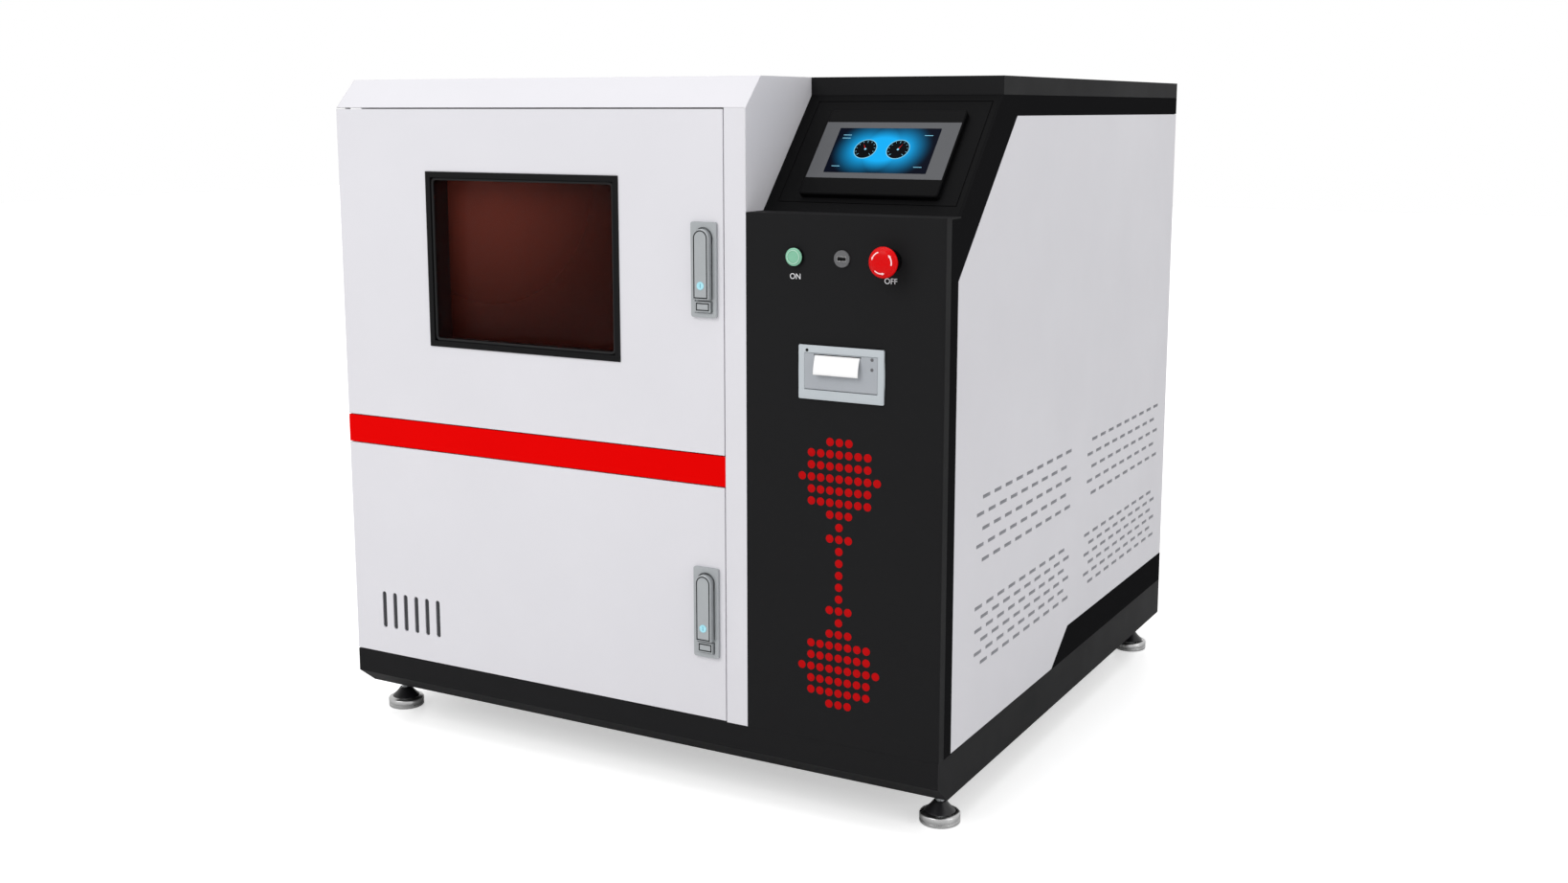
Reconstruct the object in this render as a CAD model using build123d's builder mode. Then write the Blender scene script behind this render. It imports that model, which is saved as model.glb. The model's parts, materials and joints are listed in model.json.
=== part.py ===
from build123d import *
from math import atan2, cos, hypot, radians, sin, tan
import os

# Environmental test chamber: a white cabinet with an insulated, windowed test
# space above a machine compartment, and a black control column on its right.
# Millimetres. The origin is on the floor under the middle of the cabinet,
# +Z is up and the doors face -Y.

os.makedirs("parts", exist_ok=True)

# Cabinet
WIDTH = 1000.0
DEPTH = 1000.0
BODY_HEIGHT = 950.0
FOOT_HEIGHT = 50.0
COLUMN_WIDTH = 286.8
SHEET = 2.0
SKIRT_HEIGHT = 61.9
TRAY_FLOOR = 3.0
NOSE_RISE = 26.0
NOSE_SETBACK = 33.0
TRAY_FLANGE = 30.0
ROOF_SETBACK = 41.0
ROOF_DROP = 42.0

LEFT = -WIDTH / 2
RIGHT = WIDTH / 2
FRONT = -DEPTH / 2
BACK = DEPTH / 2
BASE = FOOT_HEIGHT
TOP = BASE + BODY_HEIGHT
SPLIT = RIGHT - COLUMN_WIDTH
SKIRT_TOP = BASE + SKIRT_HEIGHT
DECK = BASE + TRAY_FLOOR

# Doors, the strip between them and the seat behind the upper door
STILE_WIDTH = 33.2
BAND_HEIGHT = 42.1
UPPER_BAY_HEIGHT = 468.5
DOOR_GAP = 1.5
UPPER_DOOR_DEPTH = 45.0
LOWER_DOOR_DEPTH = 25.0
GASKET_DEPTH = 8.0
SEAT_GAP = 0.3
COLLAR_DEPTH = 12.0
HINGE_INSET_X = 10.0
HINGE_INSET_Y = 14.0
HINGE_PIN_RADIUS = 4.0
HINGE_PIN_REACH = 16.0
HINGE_HEAD_RADIUS = 5.5
HINGE_HEAD = 2.0
PIN_FIT = 0.06

DOOR_RIGHT = SPLIT - STILE_WIDTH
DOOR_TOP = TOP - ROOF_DROP
BAND_HIGH = DOOR_TOP - UPPER_BAY_HEIGHT
BAND_LOW = BAND_HIGH - BAND_HEIGHT
SEAT_FACE = FRONT + UPPER_DOOR_DEPTH + GASKET_DEPTH + SEAT_GAP
COLLAR_BACK = SEAT_FACE + COLLAR_DEPTH
HINGE_X = LEFT + HINGE_INSET_X
HINGE_Y = FRONT + HINGE_INSET_Y
UPPER_DOOR = (LEFT, DOOR_RIGHT - DOOR_GAP, BAND_HIGH + DOOR_GAP, DOOR_TOP - DOOR_GAP)
LOWER_DOOR = (LEFT, DOOR_RIGHT - DOOR_GAP, SKIRT_TOP + DOOR_GAP, BAND_LOW - DOOR_GAP)

# Test space, inside the insulated walls of the upper bay
SIDE_WALL = 90.0
ROOF_WALL = 46.0
FLOOR_WALL = 52.5
WORK_DEPTH = 420.0
PLENUM_DEPTH = 112.0
TANK_SHEET = 1.5
INSULATION_BACK = 65.0
SHELF_RISE = 150.0
SHELF_ROD = 5.0
SHELF_RODS = 15
RAIL = 12.0
PORT_RADIUS = 25.0
PORT_WALL = 2.0
PORT_STICK_OUT = 6.0
PORT_Y = 250.0

TANK_LEFT = LEFT + SIDE_WALL
TANK_RIGHT = DOOR_RIGHT - SIDE_WALL
TANK_LOW = BAND_HIGH + FLOOR_WALL
TANK_HIGH = DOOR_TOP - ROOF_WALL
TANK_WIDTH = TANK_RIGHT - TANK_LEFT
TANK_CENTRE_X = (TANK_LEFT + TANK_RIGHT) / 2
TANK_CENTRE_Z = (TANK_LOW + TANK_HIGH) / 2
BAFFLE_Y = COLLAR_BACK + WORK_DEPTH
TANK_BACK = BAFFLE_Y + PLENUM_DEPTH
SHELF_Z = TANK_LOW + SHELF_RISE

# Circulation fan in the plenum behind the test space
WHEEL_RADIUS = 75.0
WHEEL_DEPTH = 45.0
WHEEL_BLADES = 12
WHEEL_DROP = 92.0
WHEEL_CENTRE_Z = TANK_HIGH - WHEEL_DROP
FAN_SHAFT_RADIUS = 6.0
FAN_MOTOR_RADIUS = 52.0
FAN_MOTOR_LENGTH = 95.0

# Window in the upper door
WINDOW_WIDTH = 340.7
WINDOW_HEIGHT = 258.2
WINDOW_RAISE = 9.9
WINDOW_CENTRE_Z = TANK_CENTRE_Z + WINDOW_RAISE
WINDOW_BORDER = 8.5
WINDOW_PROUD = 1.5
PANE = 4.0
PANE_BITE = 4.0
PANE_SETBACK = 3.0

# Flush handles: a plate with a lifting, turning lever and a push button
HANDLE_INSET = 30.5
HANDLE_X = DOOR_RIGHT - HANDLE_INSET
HANDLE_WIDTH = 40.0
HANDLE_HEIGHT = 128.5
UPPER_HANDLE_RAISE = 19.5
LOWER_HANDLE_DROP = 12.9
UPPER_HANDLE_Z = (BAND_HIGH + DOOR_TOP - HANDLE_HEIGHT) / 2 + UPPER_HANDLE_RAISE
LOWER_HANDLE_Z = (SKIRT_TOP + BAND_LOW - HANDLE_HEIGHT) / 2 - LOWER_HANDLE_DROP
PLATE_PROUD = 4.0
PLATE_CORNER = 3.0
LEVER_WIDTH = 25.2
LEVER_LENGTH = 95.2
LEVER_DEPTH = 8.0
LEVER_RISE = 24.5
LEVER_LIFT = 0.4
BUTTON_HEIGHT = 14.3
BUTTON_RISE = 7.4
BUTTON_PROUD = 3.4
KEY_RADIUS = 5.5
KEY_RISE = 19.0
SPINDLE_RADIUS = 7.0
LOCK_DEPTH = 16.0
LOCK_MARGIN = 4.0
CAM_REACH = 26.0
CAM_HEIGHT = 12.0
CAM_DEPTH = 4.0

# Slots in the lower door
VENT_COUNT = 6
VENT_PITCH = 21.4
VENT_FIRST_X = LEFT + 57.6
VENT_LOW = BASE + 104.5
VENT_LENGTH = 58.1
VENT_WIDTH = 8.0

# Control column
SIDE_SHEET = 4.0
LEDGE_DROP = 177.7
LEDGE_DEPTH = 46.8
CONSOLE_HEAD_DEPTH = 184.3
COVER_HEIGHT = 24.9
COLUMN_RETURN = 18.0
COLUMN_BEND = 3.0
COLUMN_MIDDLE = (SPLIT + RIGHT) / 2
LEDGE_Z = TOP - LEDGE_DROP
CONSOLE_FOOT_Y = FRONT + LEDGE_DEPTH
CONSOLE_HEAD_Y = FRONT + CONSOLE_HEAD_DEPTH
CONSOLE_HEAD_Z = TOP - COVER_HEIGHT
CONSOLE_RUN = hypot(CONSOLE_HEAD_Y - CONSOLE_FOOT_Y, CONSOLE_HEAD_Z - LEDGE_Z)
CONSOLE_ANGLE = atan2(CONSOLE_HEAD_Z - LEDGE_Z, CONSOLE_HEAD_Y - CONSOLE_FOOT_Y)
SLOPE = Plane(
    origin=(SPLIT, CONSOLE_FOOT_Y, LEDGE_Z),
    x_dir=(1, 0, 0),
    z_dir=(0, -sin(CONSOLE_ANGLE), cos(CONSOLE_ANGLE)),
)
INNER_RIGHT = RIGHT - SIDE_SHEET

# Operator panel on the slope, placed by its distance along and up the slope
HMI_WIDTH = 200.5
HMI_HEIGHT = 147.0
HMI_ACROSS = COLUMN_WIDTH / 2 + 4.8
HMI_UP = 97.5
HMI_PROUD = 9.0
HMI_CORNER = 4.0
HMI_EDGE = 1.5
HMI_BODY_DEPTH = 34.0
HMI_BODY_MARGIN = 6.0
SCREEN_WIDTH = 197.5
SCREEN_HEIGHT = 97.2
SCREEN_UP = 99.9
SCREEN_GLASS = 1.5
GROOVE_WIDTH = 259.0
GROOVE_HEIGHT = 179.0
GROOVE_ACROSS = COLUMN_WIDTH / 2 + 2.8
GROOVE_UP = 105.0
GROOVE = 1.2

# Controls on the column's front
CONTROL_DROP = 55.7
POWER_X = COLUMN_MIDDLE - 69.0
USB_X = COLUMN_MIDDLE - 0.4
ESTOP_X = COLUMN_MIDDLE + 68.4
CONTROL_Z = LEDGE_Z - CONTROL_DROP
CONTROL_BODY_RADIUS = 11.0
POWER_RING_RADIUS = 12.5
POWER_RING_PROUD = 1.2
POWER_CAP_RADIUS = 11.8
POWER_CAP_DEPTH = 3.0
POWER_CAP_EDGE = 0.8
POWER_TRAVEL = 2.4
POWER_STEM_RADIUS = 8.0
POWER_STEM_DEPTH = 12.0
POWER_BODY_DEPTH = 30.0
USB_RADIUS = 11.0
USB_BODY_RADIUS = 9.0
USB_PROUD = 2.5
USB_MOUTH = (12.5, 5.4)
USB_MOUTH_DEPTH = 13.0
USB_TONGUE_SETBACK = 6.5
USB_TONGUE_SIDE = 1.0
USB_TONGUE_TOP = 0.8
ESTOP_RING_RADIUS = 15.0
ESTOP_RING_PROUD = 9.0
ESTOP_STEM_RADIUS = 8.0
ESTOP_HEAD_RADIUS = 20.0
ESTOP_HEAD_DEPTH = 14.0
ESTOP_HEAD_NECK = 14.5
ESTOP_HEAD_RIM = 6.0
ESTOP_BEVEL = 3.5
ESTOP_TRAVEL = 4.5
ESTOP_GAP = 7.0
ESTOP_SPIGOT_RADIUS = 5.0
ESTOP_SPIGOT = 8.0
ESTOP_BODY_DEPTH = 40.0
SLIDE_FIT = 0.1

# Receipt printer
PRINTER_LEFT = COLUMN_MIDDLE - 62.3
PRINTER_WIDTH = 123.5
PRINTER_DROP = 241.3
PRINTER_LOW = LEDGE_Z - PRINTER_DROP
PRINTER_HEIGHT = 71.5
PRINTER_CORNER = 2.0
PRINTER_PROUD = 3.0
PRINTER_DEPTH = 62.0
PRINTER_BORDER_X = 9.0
PRINTER_BORDER_LOW = 12.7
PRINTER_BORDER_HIGH = 10.0
COVER_GAP = 0.5
COVER_DEPTH = 5.0
COVER_PIN_RADIUS = 1.5
PIN_REACH = 2.5
PIN_HOLE = 3.0
PAPER_X = PRINTER_LEFT + 57.2
PAPER_WIDTH = 65.0
PAPER_INSET = 2.0
PAPER_CURL = 1.0
PAPER_DROP = 25.5
PAPER_THICKNESS = 0.6
PAPER_LEAN = 7.0
ROLL_RADIUS = 17.0
ROLL_AXLE_RADIUS = 3.0
ROLL_SETBACK = 30.0

# Perforated ornament on the column: dots per row, from the top
DOT_ROWS = (3, 7, 7, 9, 7, 7, 3, 1, 3, 1, 1, 1, 1, 1, 3, 1, 3, 7, 7, 9, 7, 7, 3)
DOT_RADIUS = 5.4
DOT_SIDES = 8
DOT_PITCH_X = 13.75
DOT_PITCH_Z = 16.3
DOT_CENTRE_X = COLUMN_MIDDLE - 3.2
DOT_DROP = 55.3
DOT_TOP_Z = PRINTER_LOW - DOT_DROP
DOT_BACKING = 1.5
DOT_BACKING_MARGIN = 8.0
DOT_BACKING_RISE = 41.8

# Side panel: corners as distance back from the front, drop under the console's
# foot and head, and height over the base
PANEL_FRONT = 41.3
PANEL_BEND_DROP = 81.8
PANEL_BEND_BACK = 236.0
PANEL_TOP_DROP = 27.0
PANEL_LOW_RISE = 111.7
PANEL_STEP_BACK = 499.3
PANEL_STEP_FRONT = 430.4
PANEL_GAP = 0.8
PANEL_REBATE = 20.0
PANEL_BEND_Z = LEDGE_Z - PANEL_BEND_DROP
PANEL_TOP_Z = CONSOLE_HEAD_Z - PANEL_TOP_DROP

# Louvre slots of the side panel: rows from the top, with the odd rows shifted;
# the fields at the back run on to the panel's end
LOUVRE_PITCH = 41.5
LOUVRE_COUNT = 9
LOUVRE_END = 55.0
LOUVRE_LENGTH = 26.0
LOUVRE_HEIGHT = 5.0
UPPER_LOUVRE_RISE = 391.4
UPPER_LOUVRE_STEP = 21.8
UPPER_LOUVRE_ROWS = 5
LOWER_LOUVRE_RISE = 240.0
LOWER_LOUVRE_STEP = 16.1
LOWER_LOUVRE_ROWS = 6
LOUVRE_STARTS = {"upper": (151.5, 607.0, -20.5), "lower": (129.6, 581.0, 22.0)}

# Levelling feet
FOOT_INSET_X = 28.0
FOOT_INSET_Y = 74.0
FOOT_PAD_RADIUS = 28.0
FOOT_PAD_HEIGHT = 14.0
FOOT_PAD_EDGE = 4.0
FOOT_PAD_SHOULDER = 2.0
FOOT_CONE_NECK = 3.0
FOOT_CONE_TOP = 30.0
FOOT_STEM_RADIUS = 6.0
FOOT_STEM_TOP = 84.0
FOOT_NUT_RADIUS = 11.0
FOOT_NUT = 9.0
FOOT_BOSS_RADIUS = 14.0
FOOT_BOSS = 24.0

# Machine compartment
RAIL_SIZE = 25.0
POST_SETBACK = 92.0
COMPRESSOR_RADIUS = 82.0
COMPRESSOR_HEIGHT = 215.0
COMPRESSOR_X = SPLIT - 213.2
COMPRESSOR_Y = FRONT + 620.0
CONDENSER_LEFT = LEFT + 55.0
CONDENSER_WIDTH = 310.0
CONDENSER_HEIGHT = 270.0
CONDENSER_DEPTH = 60.0
CONDENSER_Y = FRONT + 130.0
CONDENSER_FINS = 18
CONDENSER_FIN_DEPTH = 12.0
COOLING_FAN_RADIUS = 112.0
COOLING_HUB_RADIUS = 26.0
COOLING_BLADE_ROOT = 19.0
COOLING_BLADE_INSET = 3.0
COOLING_FAN_BLADES = 5
COOLING_FAN_DEPTH = 26.0
COOLING_MOTOR_RADIUS = 38.0
COOLING_MOTOR_LENGTH = 70.0
COOLING_SHAFT_RADIUS = 5.0

# Rear
DRAIN_RADIUS = 8.0
DRAIN_BORE = 5.5
DRAIN_LENGTH = 30.0
DRAIN_X = TANK_CENTRE_X
DRAIN_RISE = 130.0
GLAND_RADIUS = 14.0
GLAND_LENGTH = 24.0
GLAND_BORE = 7.0
GLAND_X = RIGHT - 120.0
GLAND_RISE = 150.0
REAR_SLOTS = 8
REAR_SLOT_PITCH = 22.0
REAR_SLOT_LENGTH = 260.0
REAR_SLOT_HEIGHT = 8.0
REAR_SLOT_RISE = 180.0


def block(x_low, x_high, y_low, y_high, z_low, z_high, mode=Mode.ADD):
    """Box between two opposite corners, in the open part."""
    centre = ((x_low + x_high) / 2, (y_low + y_high) / 2, (z_low + z_high) / 2)
    with Locations(centre):
        Box(x_high - x_low, y_high - y_low, z_high - z_low, mode=mode)


def rod_x(radius, x_low, x_high, y, z, mode=Mode.ADD):
    """Round bar along X, in the open part."""
    with Locations(((x_low + x_high) / 2, y, z)):
        Cylinder(radius, x_high - x_low, rotation=(0, 90, 0), mode=mode)


def rod_y(radius, x, y_low, y_high, z, mode=Mode.ADD):
    """Round bar along Y, in the open part."""
    with Locations((x, (y_low + y_high) / 2, z)):
        Cylinder(radius, y_high - y_low, rotation=(90, 0, 0), mode=mode)


def rod_z(radius, x, y, z_low, z_high, mode=Mode.ADD):
    """Round bar along Z, in the open part."""
    with Locations((x, y, (z_low + z_high) / 2)):
        Cylinder(radius, z_high - z_low, mode=mode)


def save(part, name):
    """Label a finished piece and write it to its own file."""
    part.label = name
    export_step(part, f"parts/{name}.step")


def feet():
    """Centres of the four levelling feet, as (name, x, y)."""
    x = WIDTH / 2 - FOOT_INSET_X
    y = DEPTH / 2 - FOOT_INSET_Y
    return (
        ("foot_front_left", -x, -y),
        ("foot_front_right", x, -y),
        ("foot_rear_left", -x, y),
        ("foot_rear_right", x, y),
    )


def save_welded(parts, name):
    """Write a piece that is welded from sheets, each of which stays a solid of its own."""
    group = Compound(parts)
    group.label = name
    export_step(group, f"parts/{name}.step")


def frame_bars(outer, inner, y_low, y_high):
    """Four bars around an opening, each a solid of its own; outer and inner are (left, right, low, high)."""
    bars = []
    for sides in (
        (outer[0], outer[1], outer[2], inner[2]),
        (outer[0], outer[1], inner[3], outer[3]),
        (outer[0], inner[0], inner[2], inner[3]),
        (inner[1], outer[1], inner[2], inner[3]),
    ):
        with BuildPart() as bar:
            block(sides[0], sides[1], y_low, y_high, sides[2], sides[3])
        bars.append(bar.part)
    return bars


# Base tray with its bent nose, front flange and threaded bosses
with BuildPart() as base_tray:
    with BuildSketch(Plane.YZ.offset(LEFT)):
        with BuildLine():
            Polyline(
                (FRONT, SKIRT_TOP),
                (FRONT, BASE + NOSE_RISE),
                (FRONT + NOSE_SETBACK, BASE),
                (BACK, BASE),
                (BACK, SKIRT_TOP),
                close=True,
            )
        make_face()
    extrude(amount=WIDTH)
    with BuildSketch(Plane.YZ.offset(LEFT + SHEET)):
        with BuildLine():
            Polyline(
                (FRONT + SHEET, SKIRT_TOP),
                (FRONT + SHEET, BASE + NOSE_RISE + SHEET / 2),
                (FRONT + NOSE_SETBACK + SHEET / 2, DECK),
                (BACK - SHEET, DECK),
                (BACK - SHEET, SKIRT_TOP),
                close=True,
            )
        make_face()
    extrude(amount=WIDTH - 2 * SHEET, mode=Mode.SUBTRACT)
    block(LEFT + SHEET, RIGHT - SHEET, FRONT + SHEET, FRONT + TRAY_FLANGE, SKIRT_TOP - SHEET, SKIRT_TOP)
    rod_z(HINGE_PIN_RADIUS, HINGE_X, HINGE_Y, SKIRT_TOP - SHEET, SKIRT_TOP, Mode.SUBTRACT)
    for _, foot_x, foot_y in feet():
        rod_z(FOOT_BOSS_RADIUS, foot_x, foot_y, DECK, DECK + FOOT_BOSS)
        rod_z(FOOT_STEM_RADIUS + PIN_FIT, foot_x, foot_y, BASE, DECK + FOOT_BOSS, Mode.SUBTRACT)
save(base_tray.part, "base_tray")

# Lower frame: four posts, rails under the test space and the deck it stands on
POST_FRONT = FRONT + POST_SETBACK
POST_BACK = BACK - SHEET
FRAME_LEFT = LEFT + SHEET
FRAME_RIGHT = SPLIT - SHEET
with BuildPart() as inner_frame:
    for post_x in (FRAME_LEFT, FRAME_RIGHT - RAIL_SIZE):
        block(post_x, post_x + RAIL_SIZE, POST_FRONT, POST_FRONT + RAIL_SIZE, DECK, BAND_LOW)
        block(post_x, post_x + RAIL_SIZE, POST_BACK - RAIL_SIZE, POST_BACK, DECK, BAND_LOW)
        block(post_x, post_x + RAIL_SIZE, COLLAR_BACK, POST_BACK, BAND_LOW, BAND_HIGH - SHEET)
    block(FRAME_LEFT, FRAME_RIGHT, COLLAR_BACK, COLLAR_BACK + RAIL_SIZE, BAND_LOW, BAND_HIGH - SHEET)
    block(FRAME_LEFT, FRAME_RIGHT, POST_BACK - RAIL_SIZE, POST_BACK, BAND_LOW, BAND_HIGH - SHEET)
    block(FRAME_LEFT, FRAME_RIGHT, COLLAR_BACK, POST_BACK, BAND_HIGH - SHEET, BAND_HIGH)
save(inner_frame.part, "inner_frame")

# White casing of the test chamber, welded from sheets: two walls, the roof with
# its slanted front, the flange over the doors and the stile beside them
ROOF_SLOPE = ROOF_SETBACK / ROOF_DROP
ROOF_SKIN = SHEET * hypot(ROOF_SETBACK, ROOF_DROP) / ROOF_DROP
SLANT_LOW_Y = FRONT + SHEET * ROOF_SLOPE + ROOF_SKIN
SLANT_TOP_Y = FRONT + (ROOF_DROP - SHEET) * ROOF_SLOPE + ROOF_SKIN
shell_sheets = []
with BuildPart() as left_wall:
    with BuildSketch(Plane.YZ.offset(LEFT)):
        Polygon(
            (FRONT, DOOR_TOP),
            (FRONT + ROOF_SETBACK, TOP),
            (BACK, TOP),
            (BACK, SKIRT_TOP),
            (SEAT_FACE, SKIRT_TOP),
            (SEAT_FACE, DOOR_TOP),
            align=None,
        )
    extrude(amount=SHEET)
    rod_x(PORT_RADIUS + PORT_WALL, LEFT, LEFT + SHEET, FRONT + PORT_Y, TANK_CENTRE_Z, Mode.SUBTRACT)
shell_sheets.append(left_wall.part)
with BuildPart() as right_wall:
    with BuildSketch(Plane.YZ.offset(SPLIT - SHEET)):
        Polygon(
            (FRONT, SKIRT_TOP),
            (FRONT, DOOR_TOP),
            (FRONT + ROOF_SETBACK, TOP),
            (BACK - SHEET, TOP),
            (BACK - SHEET, SKIRT_TOP),
            align=None,
        )
    extrude(amount=SHEET)
shell_sheets.append(right_wall.part)
for profile in (
    (
        (FRONT + ROOF_SETBACK, TOP),
        (BACK, TOP),
        (BACK, TOP - SHEET),
        (SLANT_TOP_Y, TOP - SHEET),
    ),
    (
        (FRONT, DOOR_TOP),
        (FRONT + ROOF_SETBACK, TOP),
        (SLANT_TOP_Y, TOP - SHEET),
        (SLANT_LOW_Y, DOOR_TOP + SHEET),
    ),
    (
        (FRONT, DOOR_TOP),
        (SLANT_LOW_Y, DOOR_TOP + SHEET),
        (COLLAR_BACK, DOOR_TOP + SHEET),
        (COLLAR_BACK, DOOR_TOP),
    ),
):
    with BuildPart() as roof_sheet:
        with BuildSketch(Plane.YZ.offset(LEFT + SHEET)):
            Polygon(*profile, align=None)
        extrude(amount=SPLIT - LEFT - 2 * SHEET)
        rod_z(HINGE_PIN_RADIUS, HINGE_X, HINGE_Y, DOOR_TOP, DOOR_TOP + SHEET, Mode.SUBTRACT)
    shell_sheets.append(roof_sheet.part)
with BuildPart() as stile_face:
    block(DOOR_RIGHT, SPLIT - SHEET, FRONT, FRONT + SHEET, SKIRT_TOP, DOOR_TOP)
shell_sheets.append(stile_face.part)
with BuildPart() as stile_return:
    block(DOOR_RIGHT, DOOR_RIGHT + SHEET, FRONT + SHEET, COLLAR_BACK, SKIRT_TOP, DOOR_TOP)
shell_sheets.append(stile_return.part)
save_welded(shell_sheets, "chamber_shell")

# Red strip between the doors, a channel open to the back
with BuildPart() as red_band:
    block(LEFT, DOOR_RIGHT, FRONT, COLLAR_BACK, BAND_LOW, BAND_HIGH)
    block(
        LEFT + SHEET,
        DOOR_RIGHT - SHEET,
        FRONT + SHEET,
        COLLAR_BACK,
        BAND_LOW + SHEET,
        BAND_HIGH - SHEET,
        Mode.SUBTRACT,
    )
    block(LEFT, LEFT + SHEET, SEAT_FACE, COLLAR_BACK, BAND_LOW, BAND_HIGH, Mode.SUBTRACT)
    for flange_z in (BAND_LOW, BAND_HIGH - SHEET):
        rod_z(HINGE_PIN_RADIUS, HINGE_X, HINGE_Y, flange_z, flange_z + SHEET, Mode.SUBTRACT)
save(red_band.part, "red_band")

# Hinge pins: a headed pin above and below each door, in the flanges around it
with BuildPart() as hinge_pins:
    for flange_face, reach in (
        (DOOR_TOP, -HINGE_PIN_REACH),
        (BAND_HIGH, HINGE_PIN_REACH),
        (BAND_LOW, -HINGE_PIN_REACH),
        (SKIRT_TOP, HINGE_PIN_REACH),
    ):
        away = -1 if reach > 0 else 1
        flange_back = flange_face + away * SHEET
        head_end = flange_back + away * HINGE_HEAD
        tip = flange_face + reach
        rod_z(HINGE_PIN_RADIUS, HINGE_X, HINGE_Y, min(tip, flange_back), max(tip, flange_back))
        rod_z(HINGE_HEAD_RADIUS, HINGE_X, HINGE_Y, min(flange_back, head_end), max(flange_back, head_end))
save(hinge_pins.part, "hinge_pins")

# Test space: the stainless tank, welded from sheets, with its shelf rails and the
# sleeve of the cable port
TANK_OUT_LEFT = TANK_LEFT - TANK_SHEET
TANK_OUT_RIGHT = TANK_RIGHT + TANK_SHEET
TANK_OUT_LOW = TANK_LOW - TANK_SHEET
TANK_OUT_HIGH = TANK_HIGH + TANK_SHEET
TANK_OUT_BACK = TANK_BACK + TANK_SHEET
PORT_OUT = PORT_RADIUS + PORT_WALL
tank_sheets = []
for sheet_low, sheet_high in ((TANK_OUT_LOW, TANK_LOW), (TANK_HIGH, TANK_OUT_HIGH)):
    with BuildPart() as tank_level:
        block(TANK_OUT_LEFT, TANK_OUT_RIGHT, COLLAR_BACK, TANK_OUT_BACK, sheet_low, sheet_high)
    tank_sheets.append(tank_level.part)
with BuildPart() as tank_right:
    block(TANK_RIGHT, TANK_OUT_RIGHT, COLLAR_BACK, TANK_OUT_BACK, TANK_LOW, TANK_HIGH)
tank_sheets.append(tank_right.part)
with BuildPart() as tank_back:
    block(TANK_LEFT, TANK_RIGHT, TANK_BACK, TANK_OUT_BACK, TANK_LOW, TANK_HIGH)
    rod_y(FAN_SHAFT_RADIUS * 2, TANK_CENTRE_X, TANK_BACK, TANK_OUT_BACK, WHEEL_CENTRE_Z, Mode.SUBTRACT)
tank_sheets.append(tank_back.part)
with BuildPart() as tank_left:
    block(TANK_OUT_LEFT, TANK_LEFT, COLLAR_BACK, TANK_OUT_BACK, TANK_LOW, TANK_HIGH)
    rod_x(PORT_OUT, LEFT - PORT_STICK_OUT, TANK_LEFT, FRONT + PORT_Y, TANK_CENTRE_Z)
    rod_x(PORT_RADIUS, LEFT - PORT_STICK_OUT, TANK_LEFT, FRONT + PORT_Y, TANK_CENTRE_Z, Mode.SUBTRACT)
tank_sheets.append(tank_left.part)
for rail_low, rail_high in ((TANK_LEFT, TANK_LEFT + RAIL), (TANK_RIGHT - RAIL, TANK_RIGHT)):
    with BuildPart() as shelf_rail:
        block(rail_low, rail_high, COLLAR_BACK + RAIL, BAFFLE_Y - RAIL, SHELF_Z - SHEET, SHELF_Z)
    tank_sheets.append(shelf_rail.part)
save_welded(tank_sheets, "inner_tank")

# Insulation around the tank, filling the casing over the deck
INSULATION_END = TANK_OUT_BACK + INSULATION_BACK
with BuildPart() as insulation:
    block(LEFT + SHEET, SPLIT - SHEET, COLLAR_BACK, INSULATION_END, BAND_HIGH, DOOR_TOP)
    block(
        TANK_OUT_LEFT,
        TANK_OUT_RIGHT,
        COLLAR_BACK,
        TANK_OUT_BACK,
        TANK_OUT_LOW,
        TANK_OUT_HIGH,
        Mode.SUBTRACT,
    )
    rod_x(PORT_OUT, LEFT + SHEET, TANK_OUT_LEFT, FRONT + PORT_Y, TANK_CENTRE_Z, Mode.SUBTRACT)
    rod_y(FAN_SHAFT_RADIUS * 2, TANK_CENTRE_X, TANK_OUT_BACK, INSULATION_END, WHEEL_CENTRE_Z, Mode.SUBTRACT)
save(insulation.part, "insulation")

# Insulating collar of four bars around the mouth of the tank, where the gasket lands
collar_bars = frame_bars(
    (LEFT + SHEET, DOOR_RIGHT, BAND_HIGH, DOOR_TOP),
    (TANK_LEFT, TANK_RIGHT, TANK_LOW, TANK_HIGH),
    SEAT_FACE,
    COLLAR_BACK,
)
save_welded(collar_bars, "door_collar")

# Air duct baffle across the test space: outlet slots above, return slots below
BAFFLE_SLOTS = 9
BAFFLE_SLOT = (36.0, 12.0)
BAFFLE_INSET = 32.0
with BuildPart() as duct_baffle:
    block(TANK_LEFT, TANK_RIGHT, BAFFLE_Y, TANK_BACK, TANK_LOW, TANK_HIGH)
    block(
        TANK_LEFT + TANK_SHEET,
        TANK_RIGHT - TANK_SHEET,
        BAFFLE_Y + TANK_SHEET,
        TANK_BACK,
        TANK_LOW,
        TANK_HIGH,
        Mode.SUBTRACT,
    )
    with BuildSketch(Plane.XZ.offset(-BAFFLE_Y)):
        for slot_row in (TANK_LOW + BAFFLE_INSET, TANK_HIGH - BAFFLE_INSET):
            with Locations((TANK_CENTRE_X, slot_row)):
                with GridLocations((TANK_WIDTH - BAFFLE_INSET) / BAFFLE_SLOTS, 0, BAFFLE_SLOTS, 1):
                    Rectangle(*BAFFLE_SLOT)
    extrude(amount=-TANK_SHEET, mode=Mode.SUBTRACT)
save(duct_baffle.part, "duct_baffle")

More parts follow.
